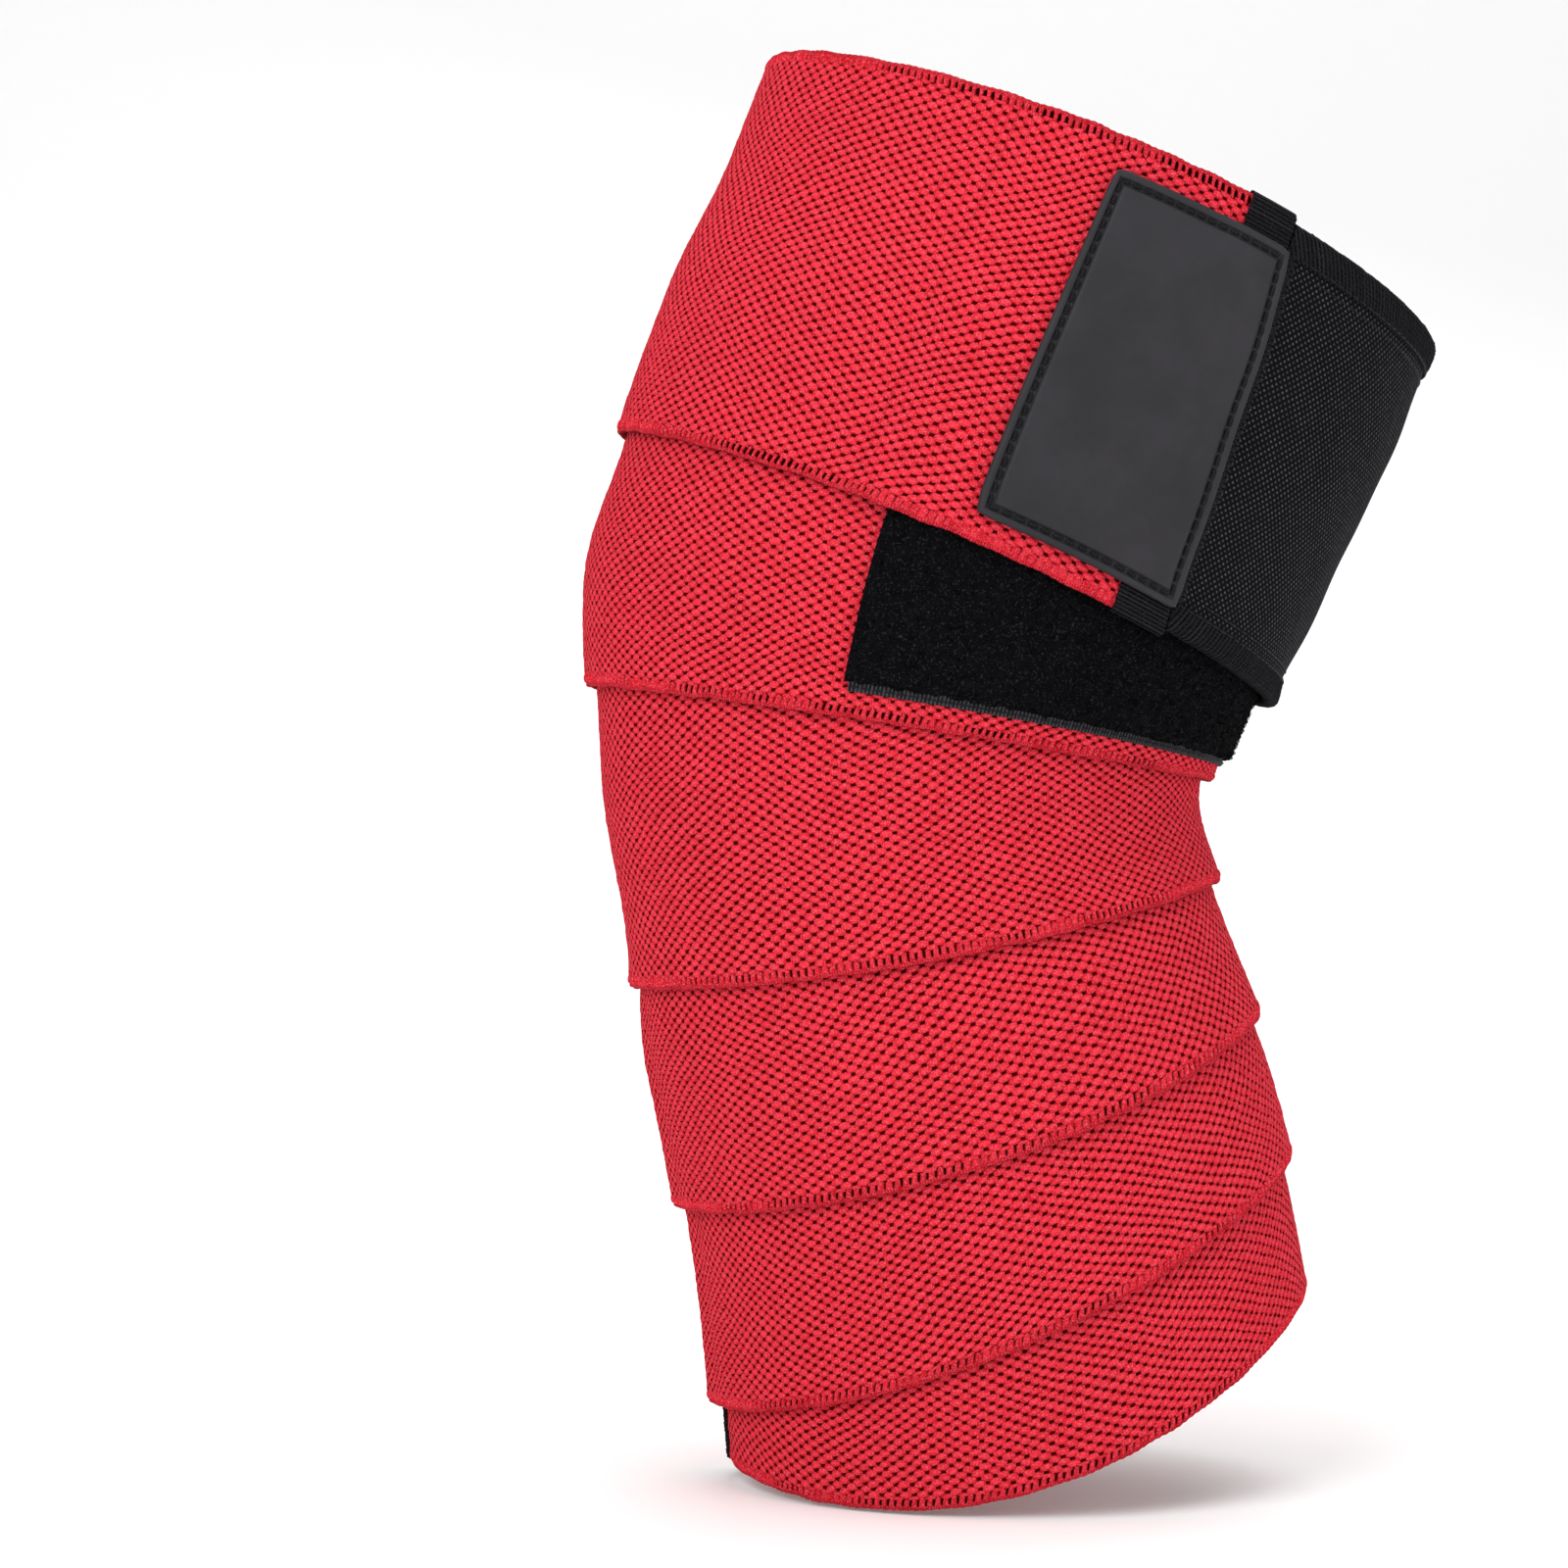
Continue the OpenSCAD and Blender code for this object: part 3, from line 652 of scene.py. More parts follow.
# The rolled edge's cross-section: distance from the band's edge, height on a rung, height in a gap, depth in
# the gap, and 1 where it is part of the roll under the rungs, up to 2 at the roll's foot, for the painted
# shade
ROLL = [(2.0, 0.5, 0.5, 0, 0), (1.0, 0.15, 0.15, 0, 2), (0.3, 0.2, 0.2, 0, 2), (-0.1, 0.55, 0.55, 0, 2),
        (-0.25, 1.1, 1.05, 0, 1.7), (-0.1, 1.65, 1.55, 0, 1), (0.2, 1.95, 1.75, 0, 1),
        (0.55, 1.9, 1.55, 0.5, 1), (0.8, 2.2, 1.25, 0.9, 0), (1.2, 2.32, 1.0, 1, 0), (1.7, 2.32, 0.9, 1, 0),
        (2.15, 2.2, 1.0, 1, 0), (2.6, 1.75, 1.3, 0.5, 0)]


def selvedge(name, start, end, upper, lift=lambda w: 0 * w):
    """The rolled edge of the band, with a rung of thread over it at every RUNG_PITCH."""
    shape = Shape()
    step = RUNG_PITCH / 4
    u = np.arange(round(length_at(start) / step), round(length_at(end) / step) + 1) * step
    profile = np.array(ROLL)
    uu, k = np.meshgrid(u, np.arange(len(ROLL)), indexing="ij")
    s, on_rung, in_gap, depth, under = (profile[k, i] for i in range(5))
    rung = 0.5 + 0.5 * np.cos(math.tau * uu / RUNG_PITCH)
    rung = np.clip(rung * (1.1 + 0.1 * slow_noise(uu, 0 * uu, 4, seed=21)), 0, 1)
    edge = (s < 0.5) * (0.13 * rung - 0.06)
    w = angle_at(uu + 0.2 * (s - 1) * (under == 0))
    pulled_open = np.interp(w, OPENING, (OPEN_BELOW, 1))
    if not upper:
        pulled_open = pulled_open * np.interp(w, CLOSING, (1, OPEN_UNDER_PATCH))
    in_gap = on_rung - (on_rung - in_gap) * pulled_open
    h = in_gap + (on_rung - in_gap) * rung
    s = s - edge + 0.12 * slow_noise(uu, 0 * uu, 9, seed=22)
    points = on_band(w, BAND_WIDTH - s if upper else s, h + lift(w))
    # the third value sets the painted shade on the roll
    paint = np.stack([uu / RUNG_PITCH, depth * pulled_open * (1 - rung), under], -1)
    if not upper:
        points, paint = points[:, ::-1], paint[:, ::-1]
    shape.grid(points, paint, ring=True, capped=True)
    return shape.build(name, RED_SELVEDGE, [])


# ---- Tapes, threads and the closure ----
RIB_PITCH = 0.75
RIB_HEIGHT = 0.07
PRESSED = 0.12            # the share of its thickness that is left at a folded end


def folded_section(cover, low, high, lip, gap, dome):
    """Cross-section of a tape folded over an edge: (distance beyond the edge, height), outside then inside.

    The tape's outer side drops by dome towards the line where it is sewn down.
    """
    middle, half = (low + high) / 2, (high - low) / 2
    flat = np.linspace(-cover, 0, 7)
    drop = dome * (flat / cover) ** 2
    fold = np.radians([60, 30, 0, -30, -60])
    outside = ([(-cover - 0.12, high + gap + 0.1)] + [(a, high + lip - d) for a, d in zip(flat, drop)]
               + [(lip * math.cos(t), middle + (half + lip) * math.sin(t)) for t in fold]
               + [(a, low - lip) for a in flat[::-1]] + [(-cover - 0.12, low - gap - 0.2)])
    inside = ([(a, low - gap) for a in flat[::2]] + [(gap, middle)] + [(a, high + gap) for a in flat[::-2]])
    return np.array(outside), np.array(inside)


def ribbed_tape(name, place, length, cover, low, high, nodes, slant=0.0, lip=FIT_GAP + BINDING_THICK,
                dome=0.0, end_fold=0.0, pitch=RIB_PITCH, rib=RIB_HEIGHT):
    """A ribbed tape folded over an edge. place(t, a, h) gives points t along it and a beyond its edge.

    Its two ends are pressed flat over a distance end_fold.
    """
    shape = Shape()
    outside, inside = folded_section(cover, low, high, lip, FIT_GAP, dome)
    section = np.concatenate([outside, inside])
    t = np.arange(0, length + pitch / 8, pitch / 4)
    t = t * length / t[-1]
    tt, k = np.meshgrid(t, np.arange(len(section)), indexing="ij")
    a, h = section[k, 0], section[k, 1]
    turns = tt / pitch + slant * a
    centre = (low + high) / 2
    on_outside = (k > 0) & (k < len(outside) - 1)
    bumpy = 0.05 * slow_noise(tt, a, 6, seed=31) + 0.05 * slow_noise(tt, a, 1.6, seed=32)
    push = (rib * np.cos(math.tau * turns) + bumpy) * on_outside
    beyond = np.clip(a / lip, 0, 1)
    h = h + push * np.sign(h - centre) * (1 - beyond)
    if end_fold:
        to_end = np.minimum(tt, length - tt) / end_fold
        h = centre + (h - centre) * (PRESSED + (1 - PRESSED) * np.sqrt(np.clip(to_end, 0, 1)))
    points = place(tt, a + push * beyond, h)
    paint = np.stack([turns, a, 0 * a], -1)
    shape.grid(points, paint, ring=True, capped=True)
    return shape.build(name, BLACK_TAPE, nodes)


def stitches(name, ends, nodes, thick=THREAD, sag=0.5):
    """Sewn threads, each from one (w, s, h) to another, arched so that its ends go into the cloth."""
    shape = Shape()
    ends = np.asarray(ends, float)
    share = np.linspace(0, 1, 7)
    middle = ends[:, :1] * (1 - share[:, None]) + ends[:, 1:] * share[:, None]
    arch = 1 - (2 * share - 1) ** 4
    h = middle[..., 2] + thick * 0.5 - sag * thick * (1 - arch)
    centres = on_band(middle[..., 0], middle[..., 1], h)
    normals = band_out(middle[..., 0], middle[..., 1])
    radii = np.broadcast_to(MM * thick / 2 * (0.55 + 0.45 * arch), centres.shape[:2])
    tubes(shape, centres, radii, normals)
    return shape.build(name, THREAD_BLACK, nodes)


STITCH_LENGTH, STITCH_GAP = 2.1, 0.35


def seam_along(start, end, s, height):
    """Stitches along the band; height(w) is what they lie on."""
    count = round((length_at(end) - length_at(start)) / (STITCH_LENGTH + STITCH_GAP))
    marks = np.linspace(length_at(start), length_at(end), count + 1)
    ends = angle_at(np.stack([marks[:-1], marks[1:] - STITCH_GAP], -1))
    return [[(a, s, height(a)), (b, s, height(b))] for a, b in ends]


def two_seams(start, end, low, high, height):
    """The seams along both edges of a panel."""
    return seam_along(start, end, low, height) + seam_along(start, end, high, height)


def seam_across(w, low, high, height):
    count = round((high - low) / (STITCH_LENGTH + STITCH_GAP))
    marks = np.linspace(low, high, count + 1)
    return [[(w, a, height(w)), (w, b - STITCH_GAP, height(w))] for a, b in zip(marks[:-1], marks[1:])]


def make_start_binding():
    cover = length_at(BAND_START + START_TAPE_ANGLE)
    return ribbed_tape("start_tape", lambda t, a, h: on_band(BAND_START - a * START_TAPE_ANGLE / cover, t, h),
                       BAND_WIDTH, cover, 0, BAND_THICK, ["start_binding"], lip=1.1, end_fold=0.8)


def make_start_stitching():
    top = BAND_THICK + FIT_GAP + BINDING_THICK
    inset = 3
    rows = seam_across(BAND_START + START_TAPE_ANGLE - inset, inset, BAND_WIDTH - inset, lambda w: top)
    return stitches("start_threads", rows, ["start_stitching"])


PILE_OVERHANG = 1.0       # how far the pile hangs over the cut ends of its ground
PILE_STEPS = (230, 84)    # points of the pile's mass along and across the band
PILE_CURLS = 4800
GROUND_RIB_PITCH = 0.8    # of the ground's selvedges
GROUND_RIB_HEIGHT = 0.11
CURL_THREAD = 0.075       # radius of a curl's thread


def make_loop_tape():
    """Woven tape under the pile: its two selvedges are ribbed across."""
    shape = Shape()
    low, high = PAD_MARGIN, BAND_WIDTH - PAD_MARGIN
    first, last = length_at(PAD_START) + PILE_OVERHANG, length_at(PAD_END) - PILE_OVERHANG
    u = np.arange(first, last, GROUND_RIB_PITCH / 4)
    ribbed = [low, low + 0.15, low + 0.7, low + 1.3, low + PAD_SELVEDGE]
    s_top = np.array([*ribbed, *np.linspace(low + 8, high - 8, 7), *(low + high - r for r in ribbed[::-1])])
    s_under = np.linspace(high, low, 8)
    s = np.concatenate([s_top, s_under])
    flat = PAD_LOW + LOOP_TAPE_THICK
    edge = np.where((s_top < low + 0.05) | (s_top > high - 0.05), -0.25, 0)
    h = np.concatenate([flat + edge, np.full(len(s_under), PAD_LOW)])
    uu, k = np.meshgrid(u, np.arange(len(s)), indexing="ij")
    rib = np.cos(math.tau * uu / GROUND_RIB_PITCH) * GROUND_RIB_HEIGHT * (k < len(s_top))
    points = on_band(angle_at(uu), s[k], h[k] + rib)
    paint = np.stack([uu / GROUND_RIB_PITCH, s[k], 0 * uu], -1)
    shape.grid(points[:, ::-1], paint[:, ::-1], ring=True, capped=True)
    return shape.build("loop_ground", LOOP_BASE, ["loop_tape"])


def make_loop_pile():
    """The pile: a lumpy mass with fine curls standing out of it."""
    shape = Shape()
    low, high = PAD_MARGIN + PAD_SELVEDGE, BAND_WIDTH - PAD_MARGIN - PAD_SELVEDGE
    u = np.linspace(length_at(PAD_START), length_at(PAD_END), PILE_STEPS[0])
    s_top = np.linspace(low, high, PILE_STEPS[1])
    s = np.concatenate([s_top, np.linspace(high, low, 8)])
    uu, k = np.meshgrid(u, np.arange(len(s)), indexing="ij")
    ss = s[k]

    def from_edge(along, over):
        """Distance in from the pile's nearest edge."""
        return np.minimum(np.minimum(over - low, high - over), np.minimum(along - u[0], u[-1] - along))
    inside = from_edge(uu, ss)
    lumps = 0.16 * slow_noise(uu, ss, 4, seed=41) + 0.22 * slow_noise(uu, ss, 1.8, seed=42)
    edge_drop = 0.9 * (1 - smooth(inside / 1.3))
    top = PILE_HIGH - 0.4 - edge_drop + lumps * smooth(inside / 0.8)
    h = np.where(k < len(s_top), top, PILE_LOW)
    ragged = 0.25 * slow_noise(uu, ss, 2.2, seed=43)
    points = on_band(angle_at(uu), ss + ragged, h)
    shape.grid(points[:, ::-1], ring=True, capped=True)
    centre = np.stack([RANDOM.uniform(u[0], u[-1], PILE_CURLS), RANDOM.uniform(low, high, PILE_CURLS)], -1)
    heading = RANDOM.uniform(0, math.tau, PILE_CURLS)
    radius = RANDOM.uniform(0.28, 0.55, PILE_CURLS)
    rise = RANDOM.uniform(0.35, 0.75, PILE_CURLS)
    phase = np.radians([-25, 25, 70, 115, 160, 205])
    reach = np.cos(phase) * radius[:, None]
    cu = centre[:, :1] + reach * np.cos(heading)[:, None]
    cs = np.clip(centre[:, 1:] + reach * np.sin(heading)[:, None], low - 0.3, high + 0.3)
    edge_drop = 0.9 * (1 - smooth(from_edge(cu, cs) / 1.3))
    ch = PILE_HIGH - 0.5 - edge_drop + np.sin(phase) * rise[:, None]
    cw = angle_at(cu)
    tubes(shape, on_band(cw, cs, ch), np.full(cw.shape, CURL_THREAD * MM), band_out(cw, cs) + 0.3, sides=3)
    return shape.build("loop_curls", LOOP_PILE, ["loop_pile"])


def make_loop_stitching():
    def top(w):
        return PAD_LOW + LOOP_TAPE_THICK
    inset = PAD_MARGIN + PAD_SELVEDGE / 2
    rows = two_seams(PAD_START + 1, PAD_END - 1, inset, BAND_WIDTH - inset, top)
    return stitches("loop_threads", rows, ["loop_stitching"], thick=0.4)


SLEEVE_OVERHANG = 0.8     # how far the sleeve stands out beyond the band's edges


def make_end_sleeve():
    cover = (TAIL_END - SLEEVE_START) * MM_PER_DEGREE
    return ribbed_tape("end_tape",
                       lambda t, a, h: on_band(TAIL_END + a / MM_PER_DEGREE, t - SLEEVE_OVERHANG, h),
                       BAND_WIDTH + 2 * SLEEVE_OVERHANG, cover, SLEEVE_LIFT, SLEEVE_LIFT + BAND_THICK + 0.4,
                       ["end_sleeve"], end_fold=1.2)


PATCH_RIM, PATCH_GROOVE, PATCH_RIM_HEIGHT = 1.35, 1.35, 0.6
PATCH_CORNER = 1.6
FIELD_STEPS = 18          # the plain field inside the groove is a lattice of this many squares each way


def round_corners(flat, half_a, half_b, inset):
    """Moves a rectangle's corner points in, for an outline that lies a distance inset inside the patch's."""
    radius = max(PATCH_CORNER - inset, 0.1)
    room = np.array([half_a - inset - radius, half_b - inset - radius])
    core = np.clip(flat, -room, room)
    beyond = flat - core
    at_corner = (np.abs(beyond) > 1e-9).all(axis=-1)
    moved = flat.copy()
    moved[at_corner] = core[at_corner] + radius * unit(beyond[at_corner])
    return moved


def make_rubber_patch():
    """Moulded patch: a rim, a groove for the seam and a plain raised field."""
    shape = Shape()
    half_a = (length_at(PATCH_END) - length_at(PATCH_START)) / 2
    low, high = PATCH_MARGIN_LOW, BAND_WIDTH - PATCH_MARGIN_HIGH
    half_b = (high - low) / 2
    rim, groove = PATCH_THICK + PATCH_RIM_HEIGHT, PATCH_THICK - 0.1
    inner = PATCH_RIM + PATCH_GROOVE
    # (inset from the outline, height) from the underside up over the rim and through the groove to the field
    levels = [(0.5, 0.0), (0.0, 0.35), (0.0, rim - 0.75), (0.12, rim - 0.35), (0.4, rim - 0.08),
              (0.7, rim), (PATCH_RIM - 0.25, rim), (PATCH_RIM, rim - 0.12), (PATCH_RIM + 0.2, groove + 0.1),
              (PATCH_RIM + 0.35, groove), (inner - 0.2, groove), (inner - 0.05, groove + 0.1),
              (inner + 0.12, rim - 0.25), (inner + 0.4, rim - 0.05), (inner + 1.0, rim)]

    lattice = np.linspace(-1, 1, FIELD_STEPS + 1)
    marks = lattice[:-1]
    side = np.ones(FIELD_STEPS)
    ring = np.concatenate([np.stack(pair, -1) for pair in ((marks, -side), (side, marks), (-marks, side),
                                                           (-side, -marks))])
    field = np.stack(np.meshgrid(lattice, lattice), -1)

    def place(shares, inset, height):
        flat = round_corners(shares * (half_a - inset, half_b - inset), half_a, half_b, inset)
        w = angle_at(length_at(PATCH_START) + half_a + flat[..., 0])
        return on_band(w, (low + high) / 2 + flat[..., 1], patch_base(w) + height)
    rings = np.array([place(ring, inset, height) for inset, height in levels])
    in_groove = np.array([rim - 0.2 > height > 0.4 and inset > 1 for inset, height in levels], float)
    shape.grid(rings[:, ::-1], np.broadcast_to(in_groove[:, None, None], rings.shape), ring=True)
    shape.grid(place(field, *levels[-1])[:, ::-1])
    shape.grid(place(field, *levels[0]))
    made = shape.build("patch_moulding", RUBBER, ["rubber_patch"])
    weld(made)
    return made


def make_patch_stitching():
    d = PATCH_RIM + PATCH_GROOVE / 2 + 0.05
    first, last = PATCH_START + d / MM_PER_DEGREE, PATCH_END - d / MM_PER_DEGREE
    low, high = PATCH_MARGIN_LOW + d, BAND_WIDTH - PATCH_MARGIN_HIGH - d

    def top(w):
        return patch_base(w) + PATCH_THICK - 0.1
    rows = (two_seams(first, last, low, high, top) + seam_across(first, low, high, top)
            + seam_across(last, low, high, top))
    return stitches("patch_threads", rows, ["patch_stitching"], thick=0.6, sag=0.8)


WEAVE_PITCH = 1.45
KNUCKLE_HEIGHT = 0.045    # of the weave's knuckles above and below the cloth's mean surface
TAB_START = PATCH_END + 0.4  # the visible tab starts on the tail, before the hinge line


def make_tab_panel():
    """Woven nylon, its knuckles in staggered rows. Its near end goes under the tape on the tail's end."""
    shape = Shape()
    step = WEAVE_PITCH / 2
    u = np.arange(length_at(TAB_START) - 0.5, length_at(TAB_END), step)
    s_top = np.arange(TAB_MARGIN, BAND_WIDTH - TAB_MARGIN + 0.1, step)
    s = np.concatenate([s_top, np.linspace(BAND_WIDTH - TAB_MARGIN, TAB_MARGIN, 16)])
    uu, k = np.meshgrid(u, np.arange(len(s)), indexing="ij")
    ss = s[k]
    on_top = k < len(s_top)
    waves = 0.10 * slow_noise(uu, ss, 22, seed=51)
    along, over = uu / WEAVE_PITCH, (ss - TAB_MARGIN) / WEAVE_PITCH
    knuckle = KNUCKLE_HEIGHT * np.cos(math.tau * along) * np.cos(math.tau * over)
    h = np.where(on_top, TAB_HIGH + knuckle, TAB_LOW) + waves
    points = on_band(angle_at(uu), ss, h)
    paint = np.stack([along, over, 0 * uu], -1)
    shape.grid(points[:, ::-1], paint[:, ::-1], ring=True, capped=True)
    return shape.build("tab_nylon", NYLON, ["tab_panel"])


HOOK_PITCH = 1.7
HOOK_TAPE_THICK = 0.45    # of the tape that the hooks hang from
HOOK_RADII = (0.15, 0.09)  # of a hook's strand at its foot and at its tip
# A hook's path from its foot: how far along the band, and how far down
HOOK_REACH = np.array([0.0, 0.0, 0.04, 0.10, 0.28, 0.42])
HOOK_DROP = np.array([0.0, 0.35, 0.58, 0.72, 0.76, 0.55])
HOOK_TAPE_STEPS = (70, 20)  # points of the tape along and across the band


def make_hook_panel():
    """Hook tape under the tab: a thin tape and rows of small hooks."""
    shape = Shape()
    first, last = TAB_START + HOOK_INSET / MM_PER_DEGREE, TAB_END - HOOK_INSET / MM_PER_DEGREE
    low, high = TAB_MARGIN + HOOK_INSET, BAND_WIDTH - TAB_MARGIN - HOOK_INSET
    base = HOOK_THICK - HOOK_TAPE_THICK
    u = np.linspace(length_at(first), length_at(last), HOOK_TAPE_STEPS[0])
    s_top = np.linspace(low, high, HOOK_TAPE_STEPS[1])
    s = np.concatenate([s_top, s_top[::-1]])
    h = np.concatenate([np.full(len(s_top), HOOK_THICK), np.full(len(s_top), base)])
    uu, k = np.meshgrid(u, np.arange(len(s)), indexing="ij")
    shape.grid(on_band(angle_at(uu), s[k], h[k])[:, ::-1], ring=True, capped=True)
    places = []
    for i, row in enumerate(np.arange(u[0] + 1, u[-1] - 1, HOOK_PITCH)):
        shift = (i % 2) * HOOK_PITCH / 2
        places += [(row, s) for s in np.arange(low + 1 + shift, high - 1, HOOK_PITCH)]
    places = np.array(places)
    cu = places[:, :1] + HOOK_REACH
    cs = np.broadcast_to(places[:, 1:], cu.shape)
    ch = np.broadcast_to(base + 0.05 - HOOK_DROP, cu.shape)
    cw = angle_at(cu)
    radii = np.broadcast_to(MM * np.linspace(*HOOK_RADII, len(HOOK_REACH)), cw.shape)
    centres = on_band(cw, cs, ch)
    ahead = unit(on_band(cw + 1, cs, ch) - centres)
    tubes(shape, centres, radii, np.cross(band_out(cw, cs), ahead), sides=4)
    return shape.build("tab_hooks", HOOK_PLASTIC, ["hook_panel"])


BINDING_ROLL = 1.15       # how far the tab's bindings stand out
BINDING_DOME = 0.75       # and how much of that they lose towards the seam
BINDING_SHOWS = BINDING_WIDTH + 0.7
BINDING_SEAM = 4.3        # from the tab's edge to the seam through its binding


def make_tab_bindings():
    first, length = length_at(TAB_START), length_at(TAB_END) - length_at(TAB_START)

    def long_edge(name, node, beyond):
        """The tape on one long edge, where beyond(a) is the place across the band a outside the tab."""
        return ribbed_tape(name, lambda t, a, h: on_band(angle_at(first + t), beyond(a), h), length,
                           BINDING_SHOWS, TAB_LOW, TAB_HIGH, [node], slant=0.6, lip=BINDING_ROLL,
                           dome=BINDING_DOME, pitch=1.15, rib=0.13)
    upper = long_edge("tab_tape_upper", "tab_binding_upper", lambda a: BAND_WIDTH - TAB_MARGIN + a)
    lower = long_edge("tab_tape_lower", "tab_binding_lower", lambda a: TAB_MARGIN - a)
    tip = ribbed_tape("tab_tape_tip",
                      lambda t, a, h: on_band(TAB_END + a / MM_PER_DEGREE, TAB_MARGIN + t, h),
                      TAB_WIDTH, BINDING_WIDTH, TAB_LOW, TAB_HIGH, ["tab_binding_tip"], lip=BINDING_THICK)
    return [upper, lower, tip]


SEAM_WIDTH = 3.0          # of the close zigzag that holds the tab to the tail
SEAM_PITCH = 1.0


def make_seam_stitching():
    first = TAB_START + 0.2
    last = first + SEAM_WIDTH / MM_PER_DEGREE
    inner = TAB_MARGIN + BINDING_WIDTH
    high = TAB_HIGH + 0.05
    marks = np.arange(inner, BAND_WIDTH - inner, SEAM_PITCH)
    rows = [[(first, s, high), (last, s + SEAM_PITCH / 2, high)] for s in marks]
    rows += [[(last, s + SEAM_PITCH / 2, high), (first, s + SEAM_PITCH, high)] for s in marks]
    return stitches("seam_threads", rows, ["seam_stitching"], thick=0.42)


def make_hook_stitching():
    d = HOOK_INSET + 1.5
    first, last = TAB_START + (d + 2.4) / MM_PER_DEGREE, TAB_END - d / MM_PER_DEGREE
    low, high = TAB_MARGIN + d, BAND_WIDTH - TAB_MARGIN - d

    def top(w):
        return TAB_HIGH - 0.1
    rows = two_seams(first, last, low, high, top) + seam_across(last, low, high, top)
    return stitches("hook_threads", rows, ["hook_stitching"], thick=0.35)


def make_binding_stitching():
    def top(w):
        return TAB_HIGH + BINDING_ROLL - BINDING_DOME * (BINDING_SEAM / BINDING_SHOWS) ** 2 - 0.1
    low, high = TAB_MARGIN + BINDING_SEAM, BAND_WIDTH - TAB_MARGIN - BINDING_SEAM
    tip = TAB_END - BINDING_SEAM / MM_PER_DEGREE
    rows = two_seams(TAB_START + 1, TAB_END - 1, low, high, top)
    rows += seam_across(tip, low + BINDING_WIDTH, high - BINDING_WIDTH, top)
    return stitches("binding_threads", rows, ["binding_stitching"], thick=0.4)


# ---- Putting it together ----
RED_KNIT, RED_SELVEDGE, BLACK_TAPE = red_knit(), red_selvedge(), black_tape()
LOOP_BASE, LOOP_PILE, NYLON = loop_base(), loop_pile(), nylon()
RUBBER, HOOK_PLASTIC, THREAD_BLACK = rubber(), hook_plastic(), thread_black()

TAIL_OVERLAP = 6.0              # winding angle by which the tail's cloth starts before the tail itself
TURN_STARTS = [BAND_START, 270, 630, 990, 1350, 1710, TAIL_START - TAIL_OVERLAP]
TURN_SHOWS = [30, 44, 50, 64, BAND_WIDTH, BAND_WIDTH]     # how much of each turn's width the next leaves bare
turns = [knit_sheet(f"elastic_band_turn_{i + 1}", TURN_STARTS[i], TURN_STARTS[i + 1], TURN_SHOWS[i])
         for i in range(len(TURN_SHOWS))]
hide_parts("elastic_band")
band_end = TURN_STARTS[-1]
edges = [selvedge("selvedge_lower", BAND_START, band_end, False),
         selvedge("selvedge_upper", BAND_START, band_end, True)]
wound = turns + edges + [make_start_binding(), make_start_stitching(), make_loop_tape(), make_loop_pile(),
                         make_loop_stitching()]
for piece in wound:
    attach(piece, "wrap")

tail_cloth = knit_sheet("tail_cloth", band_end, TAIL_END, BAND_WIDTH, lift=tail_rise, inner_step=2)
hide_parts("band_tail")
tail_edges = [selvedge("tail_selvedge_lower", band_end, SLEEVE_START + 1, False, lift=tail_rise),
              selvedge("tail_selvedge_upper", band_end, SLEEVE_START + 1, True, lift=tail_rise)]
on_tail = [make_end_sleeve(), make_rubber_patch(), make_patch_stitching()]
for piece in on_tail:
    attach(piece, "tail")

tab = [make_tab_panel(), make_hook_panel(), *make_tab_bindings(), make_seam_stitching(),
       make_hook_stitching(), make_binding_stitching()]
TAIL_BEND, TAB_BEND = 10, 8     # distances past each hinge, in millimetres, that across_hinge() measures out


def across_hinge(joint, bend):
    """Where a hinge's bend starts, and where it ends a distance of bend millimetres beyond it."""
    found = next(j for j in frame["joints"] if j["name"] == joint)
    place, axis = Vector(found["pos_m"]), Vector(found["axis"])
    w = TAIL_HINGE if joint == "tail_lift" else TAB_HINGE
    forward = Vector(on_band(w + 2, BAND_WIDTH / 2, BAND_THICK) - on_band(w, BAND_WIDTH / 2, BAND_THICK))
    forward = (forward - forward.dot(axis) * axis / axis.length_squared).normalized()
    return place, place + forward * bend * MM


tail_bend = across_hinge("tail_lift", TAIL_BEND)
for piece in [tail_cloth, *tail_edges]:
    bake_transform(piece)
tab_bend = across_hinge("tab_peel", TAB_BEND)
for piece in tab:
    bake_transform(piece)


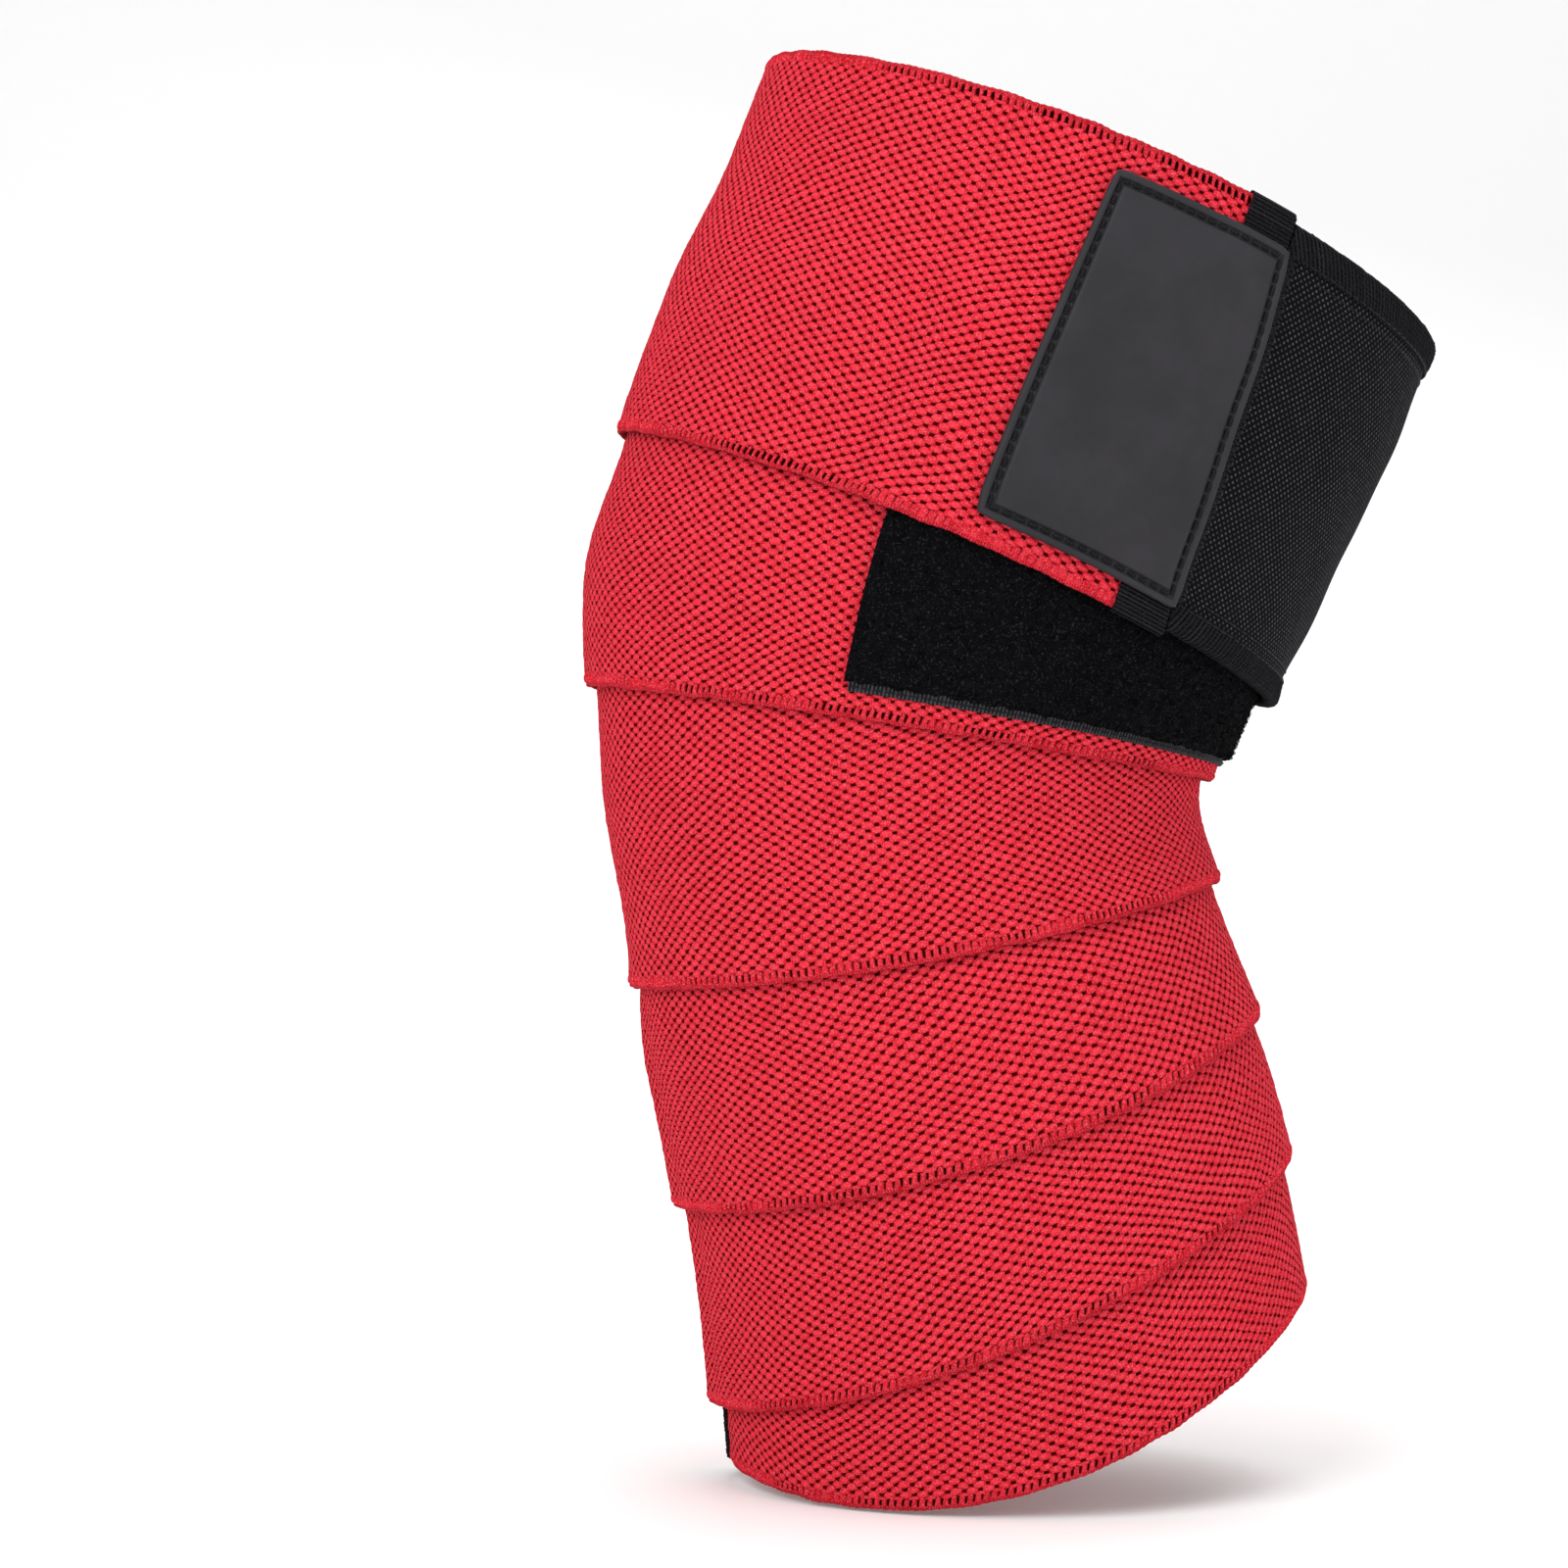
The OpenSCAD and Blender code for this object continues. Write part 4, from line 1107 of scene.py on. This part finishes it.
# ---- Studio ----
def backdrop_white():
    p = Paint("backdrop_white")
    return p.finish(Base_Color=(0.97, 0.97, 0.97), Roughness=0.9, Specular_IOR_Level=0.1)


def make_backdrop(lowest):
    """A pale floor that curves up into a wall behind."""
    shape = Shape()
    depth, bend = 1.6, 0.7
    arc = np.linspace(0.1, math.pi / 2, 14)
    profile = [(-2.4, 0.0), (depth - bend, 0.0)]
    profile += [(depth - bend + bend * math.sin(t), bend - bend * math.cos(t)) for t in arc]
    profile += [(depth, 3.0)]
    points = np.array([[(x, y, lowest + z) for x in (-3.0, 3.0)] for y, z in profile])
    shape.grid(points[:, ::-1])
    made = shape.build("backdrop", backdrop_white(), [])


def add_light(name, place, size, watts):
    """An area light that shines on the centre, at a place counted from there."""
    data = bpy.data.lights.new(name, "AREA")
    data.shape = "RECTANGLE"
    data.size, data.size_y = size
    data.energy = watts
    light = bpy.data.objects.new(name, data)
    light.location = centre + Vector(place)
    light.rotation_euler = (centre - light.location).to_track_quat("-Z", "Y").to_euler()
    bpy.context.scene.collection.objects.link(light)


lowest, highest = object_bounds()
make_backdrop(lowest.z - 0.0005)
centre = (lowest + highest) / 2
add_light("key", (-0.7, -1.1, 0.75), (0.9, 0.9), 13)
add_light("fill", (1.0, -1.0, 0.25), (0.9, 1.2), 6)
add_light("top", (0.1, -0.1, 1.3), (1.2, 1.2), 9)
add_light("back", (0.3, 1.0, 0.9), (1.2, 0.8), 6)

world = bpy.data.worlds.new("studio")
world.use_nodes = True
background = world.node_tree.nodes["Background"]
background.inputs["Color"].default_value = (1, 1, 1, 1)
background.inputs["Strength"].default_value = 0.5
bpy.context.scene.world = world
bpy.context.scene.view_settings.view_transform = "Standard"

CAMERA_PLACE = (-22.5, -900, -11.3)     # level with the knee and square to the near side
CAMERA_LENS = 104.4
camera_data = bpy.data.cameras.new("camera")
camera_data.lens = CAMERA_LENS
camera_data.sensor_width = 36
camera = bpy.data.objects.new("camera", camera_data)
camera.location = Vector(CAMERA_PLACE) * MM
camera.rotation_euler = (math.pi / 2, 0, 0)
bpy.context.scene.collection.objects.link(camera)
bpy.context.scene.camera = camera
